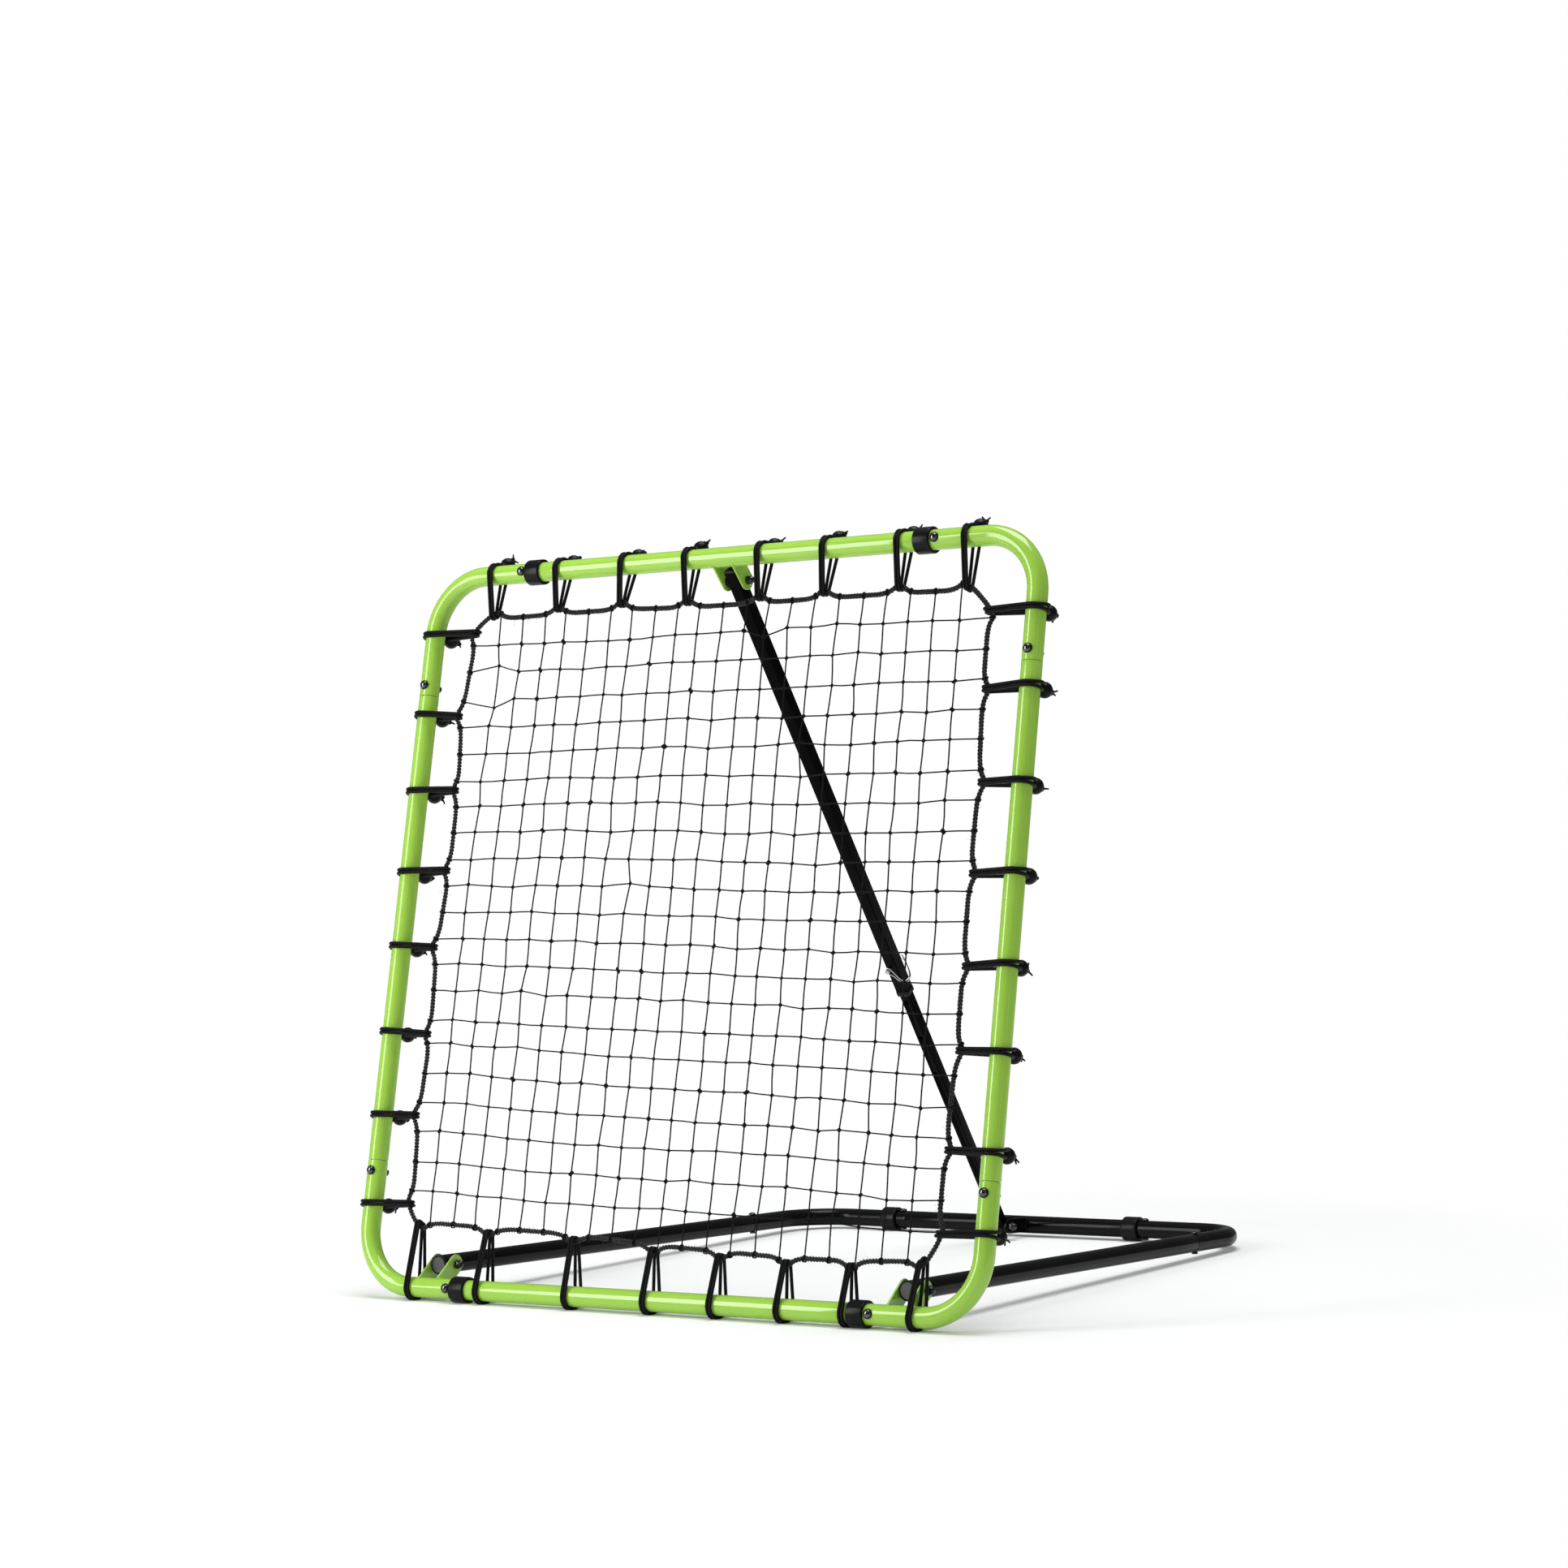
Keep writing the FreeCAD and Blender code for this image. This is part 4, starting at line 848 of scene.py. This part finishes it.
# both halves of the wire, from their eyes in the pin's head to the bend that joins them
halves = [[(0, head_y, sign * 1.3), (0, head_y, sign * 6.5), (6.5, head_y, sign * 6.5),
           (16.5, head_y + 5.6, -27.9 + sign * 1.7), (22.0, head_y + 22.1, -31.0 + sign * 1.7),
           (15.4, head_y + 36.2, -20.2 + sign * 4.0), (6.0, wire_end - 1, -1.0 + sign * 4.0),
           (-wire_past_pin, wire_end, sign * 4.0)] for sign in (1, -1)]
wire_route = np.array(halves[0] + halves[1][::-1]) + [0, 0, pin_at]


def spline_points(route, cyclic=False, fine=12):
    """Points read along a NURBS spline of the third order, whose control points are the route.
    The curve is worked out in decimetres."""
    curve = bpy.data.curves.new("route", "CURVE")
    curve.dimensions = "3D"
    spline = curve.splines.new("NURBS")
    spline.points.add(len(route) - 1)
    spline.points.foreach_set("co", np.insert(np.asarray(route, float) / 100, 3, 1, axis=1).ravel())
    spline.use_cyclic_u = cyclic
    spline.use_endpoint_u = not cyclic
    spline.order_u = 3
    spline.resolution_u = fine
    holder = bpy.data.objects.new("route", curve)
    mesh = bpy.data.meshes.new_from_object(holder)
    co = np.empty(len(mesh.vertices) * 3, np.float32)
    mesh.vertices.foreach_get("co", co)
    bpy.data.objects.remove(holder)
    bpy.data.meshes.remove(mesh)
    return co.reshape(-1, 3).astype(float) * 100


wire_path = spline_points(wire_route, fine=10)
piece("sprung_lock_wire", [capped(carried(wire_path, ring(wire_r, 10), (0.35, 0.2, 0.915)))], STRUT,
      zinc, "lock_pin_wire", "bright_zinc", "lock_pin_wire")

# The border rope: black braided polyester, three strands plaited, threaded through the
# net's edge and pulled outwards at 32 ties, so that it hangs in shallow scallops.
ties = {  # place along the side, and the rope's gap from the tube's axis
    "top": [(-461, 65), (-328, 61), (-198, 61), (-66, 66), (75, 67), (197, 67), (337, 68), (461, 75)],
    "right": [(-463, 76), (-341, 72), (-195, 67), (-71, 68), (68, 69), (204, 67), (346, 73), (466, 79)],
    "bottom": [(-481, 96), (-338, 88), (-166, 84), (-10, 74), (117, 69), (239, 65), (355, 65), (480, 75)],
    "left": [(-452, 75), (-309, 65), (-178, 71), (-35, 65), (91, 74), (225, 74), (349, 65), (488, 83)],
}
scallop = {"top": 16.0, "right": 12.0, "bottom": 15.0, "left": 14.0}
side_frames = {  # middle, along, outward
    "top": (Z * 2 * half_side, X, Z),
    "right": (X * half_side + Z * half_side, Z, X),
    "bottom": (Z * 0, X, -Z),
    "left": (-X * half_side + Z * half_side, Z, -X),
}
ties_a_side = 8
rope_rows = 3300
plait_near = 16.0
plait_swing = 2.7
strand_r = 1.6
rope_r = 3.4
fibre_ends = 380
fibre_r = 0.16
rng = np.random.default_rng(7)


def tie_points(side):
    """Where the rope passes each tie of a side, in the rope's clockwise order."""
    middle, along, out = side_frames[side]
    listed = ties[side] if side in ("top", "left") else ties[side][::-1]
    return np.array([middle + along * place - out * gap for place, gap in listed])


rope_targets = np.concatenate([tie_points(side) for side in side_frames])
tie_corner = rope_targets.copy()
for attempt in range(6):
    # a spline passes beside its control points, so those at the ties are moved a few times
    # until it passes the ties themselves
    route, tie_row = [], []
    for n, side in enumerate(side_frames):
        out = side_frames[side][2]
        here = tie_corner[ties_a_side * n:ties_a_side * (n + 1)]
        for k in range(ties_a_side):
            tie_row.append(len(route))
            route.append(here[k])
            if k < ties_a_side - 1:
                step = here[k + 1] - here[k]
                route += [here[k] + step * share - out * scallop[side] for share in (0.15, 0.5, 0.85)]
    route = np.array(route)
    passes = (np.roll(route, 1, 0) + 6 * route + np.roll(route, -1, 0))[tie_row] / 8
    tie_corner = tie_corner + rope_targets - passes
rope_round = looped(spline_points(route, True, 16))
rope_at = np.concatenate([[0], np.cumsum(np.linalg.norm(np.diff(rope_round, axis=0), axis=1))])
rope_length = rope_at[-1]
even = np.arange(rope_rows) * (rope_length / rope_rows)
rope_line = np.stack([np.interp(even, rope_at, rope_round[:, k]) for k in range(3)], -1)

braid, braid_in, braid_out = effect(
    "braided_yarns", [("Place", "Vector", None), ("Spot", "Vector", None), ("Pitch", "Float", 0.003)],
    [("Height", "Float"), ("Yarn_With_Gap_Shade", "Float")])
unrolled = braid.nodes.new("ShaderNodeSeparateXYZ")
braid.links.new(braid_in.outputs["Place"], unrolled.inputs[0])
# two sets of yarns slant across the unrolled surface, each as high as a sine, and their
# product stands out where they cross
yarn_turns = combined(braid, "DIVIDE", 2 * math.pi, braid_in.outputs["Pitch"])
along_turn = combined(braid, "MULTIPLY", unrolled.outputs["X"], yarn_turns)
round_turn = combined(braid, "MULTIPLY", unrolled.outputs["Y"], yarn_turns)
slants = [combined(braid, "SINE", combined(braid, way, along_turn, round_turn))
          for way in ("ADD", "SUBTRACT")]
fuzz = combined(braid, "MULTIPLY", noise(braid, braid_in.outputs["Spot"], 2200.0, 3.0), 0.6)
yarn_height = combined(braid, "ADD", combined(braid, "MULTIPLY", *slants), fuzz)
braid.links.new(ranged(braid, yarn_height, -1.0, 1.5), braid_out.inputs["Height"])
# the second output is high on the yarns and low in the gaps between them, where the finish paints shade
braid.links.new(ranged(braid, yarn_height, -0.4, 1.2), braid_out.inputs["Yarn_With_Gap_Shade"])


def woven(name, pitch, colour, tone, rough, depth, sheen, shine):
    """Finish of a braided cord: yarns read from the UV map's metres along and round, from
    colour in the gaps, darkened there as painted shade, to a smoother tone on the yarns."""
    material = bpy.data.materials.new(name)
    material.use_nodes = True
    tree = material.node_tree
    shader = tree.nodes["Principled BSDF"]
    shader.inputs["Sheen Weight"].default_value = sheen
    shader.inputs["Sheen Roughness"].default_value = 0.4
    shader.inputs["Specular IOR Level"].default_value = shine
    place = tree.nodes.new("ShaderNodeTexCoord")
    weave = tree.nodes.new("ShaderNodeGroup")
    weave.node_tree = braid
    weave.inputs["Pitch"].default_value = pitch
    tree.links.new(place.outputs["UV"], weave.inputs["Place"])
    tree.links.new(place.outputs["Object"], weave.inputs["Spot"])
    bump = tree.nodes.new("ShaderNodeBump")
    bump.inputs["Strength"].default_value = depth
    bump.inputs["Distance"].default_value = 0.0006
    tree.links.new(weave.outputs["Height"], bump.inputs["Height"])
    tree.links.new(bump.outputs[0], shader.inputs["Normal"])
    yarn_with_gap_shade = weave.outputs["Yarn_With_Gap_Shade"]
    # painted shade: the gaps between yarns take the darker colour, the yarn tops the paler tone
    tree.links.new(mixed(tree, yarn_with_gap_shade, colour, tone), shader.inputs["Base Color"])
    tree.links.new(ranged(tree, yarn_with_gap_shade, 0.0, 1.0, rough + 0.12, rough), shader.inputs["Roughness"])
    return material


rope_yarn = woven("braided_rope_yarn", 0.0016, (0.003, 0.003, 0.0033), tone=(0.02, 0.02, 0.021),
                  rough=0.3, depth=0.9, sheen=0.03, shine=0.5)
plait_pitch = rope_length / round(rope_length / plait_near)
phase = 2 * np.pi * even / plait_pitch
rope_grids = []
for k in range(3):
    # a strand swings to the sides as a sine, and in and out twice as fast and half as far, so
    # that it goes over one strand and under the next
    lag = phase + 2 * np.pi * k / 3
    swing = plait_swing * np.stack([np.sin(lag), np.sin(2 * lag) / 2], -1)[:, None]
    strand_line = carried(rope_line, swing, -Y, True)[:, 0]
    thick = strand_r + 0.12 * np.sin(phase * 0.37 + k)
    rope_grids.append(looped(carried(strand_line, ring(thick, 7) * [1.0, 0.9], -Y, True)))
for k in rng.integers(0, len(rope_line), fibre_ends):
    # a fibre end that stands off the rope and curls, by the square of the way along it
    stand = unit(rng.normal(size=3) * [1, 0.8, 1])
    root = rope_line[k] + stand * rope_r
    reach = np.linspace(0, 1, 4)[:, None]
    straight = stand * rng.uniform(2, 6) + rng.normal(0, 2.0, 3)
    fibre = root + straight * reach + rng.normal(0, 1.5, 3) * reach ** 2
    rope_grids.append(capped(carried(fibre, ring(fibre_r, 3), rng.normal(size=3))))
piece("braided_border_rope", rope_grids, FRAME, rope_yarn, "net_frame", "black_cord", "net_border_rope",
      sharp=180.0)

# The net: 21 by 21 black twine strings, knotted at every crossing into squares of about
# 45 mm, hand-tied and so a little uneven, and hitched round the border rope at each end.
string_r = 1.15
hitch_wide, hitch_deep, hitch_r = 4.9, 4.2, 0.85
# where each string leaves the rope, in x for those that go down and in z for those across
top_x = np.array([-447.5, -400, -353, -311, -264, -217.5, -175, -128, -83, -40, 6, 52, 95, 138, 182, 227,
                  272, 315, 358, 403, 450])
low_x = np.array([-460, -412, -367, -320, -276, -228, -184, -137, -93, -47.5, -2.5, 43, 89, 134, 180, 225,
                  271, 315, 362, 407.5, 453])
left_z = np.array([1051, 1006, 957, 913, 868, 823, 780, 737, 693, 649, 606, 562, 520, 478, 428, 391, 342,
                   295, 248, 199, 153])
right_z = np.array([1040, 992, 947, 900, 855, 807.5, 762.5, 716, 671, 625, 580, 533, 488.6, 443, 398, 352,
                    306, 260, 216, 170, 124])
# the net's own top, foot and sides, between which the strings' places are shared out
net_top, net_low = 1075.0, 100.0
net_left, net_right = -455.0, 450.0


def rope_crossing(values, axis, other, side):
    """The other coordinate of the rope's run on one side where it crosses lines at values of
    x or z, read between the rope's points."""
    start = ties_a_side * list(side_frames).index(side)
    low, high = sorted(rope_targets[[start, start + ties_a_side - 1], axis])
    on_side = (rope_line[:, axis] >= low - 1) & (rope_line[:, axis] <= high + 1)
    on_side &= (rope_line - Z * half_side) @ side_frames[side][2] > 300
    run = rope_line[on_side]
    run = run[np.argsort(run[:, axis])]
    return np.interp(values, run[:, axis], run[:, other])


share_down = ((left_z + right_z) / 2 - net_top) / (net_low - net_top)
knot_x = top_x[:, None] + (low_x - top_x)[:, None] * share_down[None, :]
share_right = (knot_x - net_left) / (net_right - net_left)
knot_z = left_z[None, :] + (right_z - left_z)[None, :] * share_right
# each knot is a little off its place, slow waves run over the net, and a few knots are
# pulled further out of line
knot_x += rng.normal(0, 1.1, knot_x.shape)
knot_z += rng.normal(0, 1.2, knot_z.shape) + 3.0 * np.sin(knot_x / 130.0) * np.sin(knot_z / 150.0)
knot_y = 4.0 * np.sin(knot_x / 210.0 + 1.0) * np.sin(knot_z / 260.0) + rng.normal(0, 0.6, knot_x.shape)
pulled_knots = ((0, 1, 6, 8), (0, 2, 6, -11), (12, 0, -5, -14), (7, 9, 5, 6), (3, 13, -5, 4),
                (16, 17, 4, -5), (14, 4, -4, 5))
for column, row, shift_x, shift_z in pulled_knots:
    knot_x[column, row] += shift_x
    knot_z[column, row] += shift_z
knots = np.stack([knot_x, knot_y, knot_z], -1)
top_end = np.stack([top_x, 0 * top_x, rope_crossing(top_x, 0, 2, "top")], -1)
low_end = np.stack([low_x, 0 * low_x, rope_crossing(low_x, 0, 2, "bottom")], -1)
left_end = np.stack([rope_crossing(left_z, 2, 0, "left"), 0 * left_z, left_z], -1)
right_end = np.stack([rope_crossing(right_z, 2, 0, "right"), 0 * right_z, right_z], -1)
twine = woven("net_twine", 0.0011, (0.0025, 0.0025, 0.0025), tone=(0.010, 0.010, 0.0105),
              rough=0.45, depth=0.6, sheen=0.0, shine=0.1)


def string(stops, normal):
    """Closed grid of one string: straight from knot to knot, but for a random bow of some
    tenths of a millimetre half way."""
    share = np.array([0.0, 0.06, 0.5, 0.94])[None, :, None]
    half_way = np.array([0.0, 0.0, 1.0, 0.0])[None, :, None]
    bow = half_way * rng.normal(0, 0.3, (len(stops) - 1, 1, 3)) * [1, 0.5, 1]
    path = stops[:-1, None] * (1 - share) + stops[1:, None] * share + bow
    path = np.vstack([path.reshape(-1, 3), stops[-1:]])
    return capped(carried(path, ring(string_r, 6), normal))


net_grids = [string(np.vstack([top_end[k], knots[k], low_end[k]]), X) for k in range(len(top_x))]
net_grids += [string(np.vstack([left_end[k], knots[:, k], right_end[k]]), Z) for k in range(len(left_z))]
# a knot is a small lump with a diamond's outline, which leans and bulges at random
turn = angles(8)
level = np.array([-1.0, -0.8, -0.2, 0.2, 0.8, 1.0])[:, None]
belly = np.array([0.0, 0.6, 1.0, 1.0, 0.6, 0.0])[:, None]
diamond = (np.abs(np.cos(turn)) + np.abs(np.sin(turn))) ** -0.9
for knot in knots.reshape(-1, 3):
    size = rng.uniform(3.7, 4.5)
    lean_x, lean_z = rng.normal(0, 0.35, 2)
    lump = diamond * (1 + 0.12 * np.sin(2 * turn + rng.uniform(0, 6)))
    rise = level * size * 0.75
    wide = belly * size * lump
    net_grids.append(knot + np.stack([wide * np.cos(turn) + lean_x * rise, rise * 0.8 + 0 * wide,
                                      wide * np.sin(turn) + lean_z * rise], -1))
piece("knotted_net", net_grids, FRAME, twine, "net_frame", "black_cord", "net", sharp=180.0)

wrap = np.linspace(0, 4 * np.pi, 25)[:, None]
hitches = []
for end in np.concatenate([top_end, low_end, left_end, right_end]):
    # two turns round the rope, side by side
    near = np.argmin(np.linalg.norm(rope_line - end, axis=1))
    way_on = unit(rope_line[(near + 3) % len(rope_line)] - rope_line[near - 3])
    outward = np.cross(way_on, Y)
    turns = hitch_wide * np.cos(wrap) * outward + hitch_deep * np.sin(wrap) * Y
    hitch = end + turns + way_on * (wrap / np.pi - 2) * 0.9
    hitches.append(capped(carried(hitch, ring(hitch_r, 5), way_on)))
piece("net_edge_hitches", hitches, FRAME, twine, "net_frame", "black_cord", sharp=180.0)

# The ball loops: 32 elastic cords of 4 mm, drawn up to 5.4 mm thick, each doubled, passed round
# the rope and the tube, caught under its own moulded ball and knotted on top of it.
elastic = woven("elastic_cord_cover", 0.0013, (0.0025, 0.0025, 0.0028), tone=(0.008, 0.008, 0.0085),
                rough=0.4, depth=0.5, sheen=0.0, shine=0.12)
ball_plastic = coated("black_ball_plastic", (0.005, 0.005, 0.0052), tone=(0.007, 0.007, 0.0073),
                      rub=(0.02, 0.02, 0.02), rough=0.30, rub_rough=0.42, grain=1000.0, depth=0.05,
                      Specular_IOR_Level=0.12)
cord_r = 2.7
strand_half = 2.75
ball_r = 12.5
ball_bore = 4.35
ball_out = tube_r + 6.0 + ball_r
ball_angle = {"top": 60.0, "right": 86.0, "bottom": 97.0, "left": 97.0}
# how far a side's strands spread behind the tube, and how many degrees its balls wander
loop_habits = {
    "top": (3.4, (-15, -5)),
    "right": (0.0, (-4, 4)),
    "bottom": (3.4, (-4, 4)),
    "left": (0.0, (-4, 4)),
}
knot_size = 1.25
knot_cord_r = 1.95
knot_above_ball = 3.6


def about(theta, radius, across=0.0):
    """(outward, rear) point at an angle about the tube, moved on past it."""
    a = math.radians(theta)
    return radius * math.cos(a) - across * math.sin(a), radius * math.sin(a) + across * math.cos(a)


def strand(gap, theta, rope_wrap, rear_spread):
    """Corner points (outward, rear, spread, reach) of one strand from ball to neck, which
    wraps the tube's rear, the rope and the tube's front. Round tube and rope the corners are
    those of a polygon about the wrap, and reach is half of its side."""
    wrap_r = tube_r + cord_r + 0.1
    tangent = math.degrees(math.acos(-(wrap_r - rope_wrap) / gap))
    rows = [(*about(theta, ball_out + ball_r - 1.0), strand_half, 0.0),
            (*about(theta, wrap_r + 1.2), strand_half, 3.0)]
    sector = (tangent - theta) / 2
    half = math.radians(sector / 2)
    for k in range(2):
        corner = about(theta + (k + 0.5) * sector, wrap_r / math.cos(half))
        rows.append((*corner, strand_half + rear_spread, wrap_r * math.tan(half)))
    half = math.radians(180 - tangent) / 2
    for angle in (180 - math.degrees(half), 180 + math.degrees(half)):
        out, rear = about(angle, rope_wrap / math.cos(half))
        rows.append((out - gap, rear, strand_half, rope_wrap * math.tan(half)))
    neck = theta - 34.0
    sector = (neck + tangent) / 4
    half = math.radians(sector / 2)
    for k in range(4):
        corner = about(-tangent + (k + 0.5) * sector, wrap_r / math.cos(half))
        rows.append((*corner, strand_half + 1.3 * max(0.0, k - 1.0), wrap_r * math.tan(half)))
    rows.append((*about(theta, wrap_r + 2.6, 7.0), 6.4, 5.0))
    return rows


# a ball with a fine seam round its middle, and a bore
tilt = np.linspace(0.17 * np.pi, 0.83 * np.pi, 17)
seam = 0.12 * np.exp(-((tilt - np.pi / 2) / 0.03) ** 2)
ball_profile = np.stack([ball_r * np.sin(tilt) + seam, -ball_r * np.cos(tilt)], -1)
bore_profile = [(ball_bore, ball_profile[-1, 1] - 0.4), (ball_bore, ball_profile[0, 1] + 0.4)]
ball_profile = looped(np.vstack([ball_profile, bore_profile]))
knot_turn = angles(30)
tail_steps = np.linspace(0, 1, 7)[:, None]
rope_tangent = unit(np.roll(rope_line, -1, 0) - np.roll(rope_line, 1, 0))
for n, side in enumerate(side_frames):
    middle, along, out = side_frames[side]
    rear_spread, wander = loop_habits[side]
    loop_grids, ball_grids = [], []
    for target in rope_targets[ties_a_side * n:ties_a_side * (n + 1)]:
        near = np.argmin(np.linalg.norm(rope_line - target, axis=1))
        rope_here = rope_line[near]
        slope = rope_tangent[near] @ out / (rope_tangent[near] @ along)
        foot = middle + along * ((rope_here - middle) @ along)
        gap = (middle - rope_here) @ out
        slant = rng.normal(0, 2.0)
        theta = ball_angle[side] + rng.uniform(*wander)
        corners, reaches = [], []
        for sign in (1, -1):
            rope_wrap = 6.0 * math.hypot(1, slope) + 0.9
            rows = strand(gap - sign * strand_half * slope, theta, rope_wrap, rear_spread)
            for a, b, spread, reach in rows[::sign]:
                lean_on = slant * np.clip(1 + a / gap, 0, 1)
                corners.append(foot + out * a + Y * b + along * (sign * spread + lean_on))
                reaches.append(reach)
        loop_grids.append(capped(carried(softened(corners, reaches, 8), ring(cord_r, 10), along)))
        outward, rear = about(theta, 1.0)
        ball_way = out * outward + Y * rear
        across = np.cross(ball_way, along)
        ball = foot + along * slant + ball_way * ball_out
        ball_grids.append(turned(ball_profile, ball, ball_way, 28))
        # the knot is a trefoil: a ring that winds three times in and out while it goes round twice
        spin = rng.uniform(0, 6)
        knot_a = knot_size * (np.sin(knot_turn + spin) + 2 * np.sin(2 * knot_turn))
        knot_b = knot_size * (np.cos(knot_turn + spin) - 2 * np.cos(2 * knot_turn))
        lift = 1.6 * np.sin(3 * knot_turn)
        top = ball + ball_way * (ball_r + knot_above_ball)
        tied = top + knot_a[:, None] * along + knot_b[:, None] * across + lift[:, None] * ball_way
        loop_grids.append(looped(carried(tied, ring(knot_cord_r, 8), ball_way + 0.2 * along, True)))
        for tail in range(2):
            # a tail that points any way above the ball and droops by the square of its length
            lie = unit(along * rng.normal() + across * rng.normal() + ball_way * rng.uniform(0.3, 0.9))
            length = rng.uniform(9, 14)
            sprig = top + lie * length * tail_steps - ball_way * 3.0 * tail_steps ** 2
            tail_r = 1.7 - 0.5 * tail_steps[:, 0]
            loop_grids.append(capped(carried(sprig, ring(tail_r, 8), along + 0.3 * out)))
    loops = piece("elastic_loops_" + side, loop_grids, FRAME, elastic, "net_frame", "black_cord",
                  "bungee_loops_" + side, sharp=180.0)
    if side == "bottom":
        pressed_flat(loops)
    piece("moulded_balls_" + side, ball_grids, FRAME, ball_plastic, "net_frame", "black_ball",
          "bungee_balls_" + side, sharp=60.0)
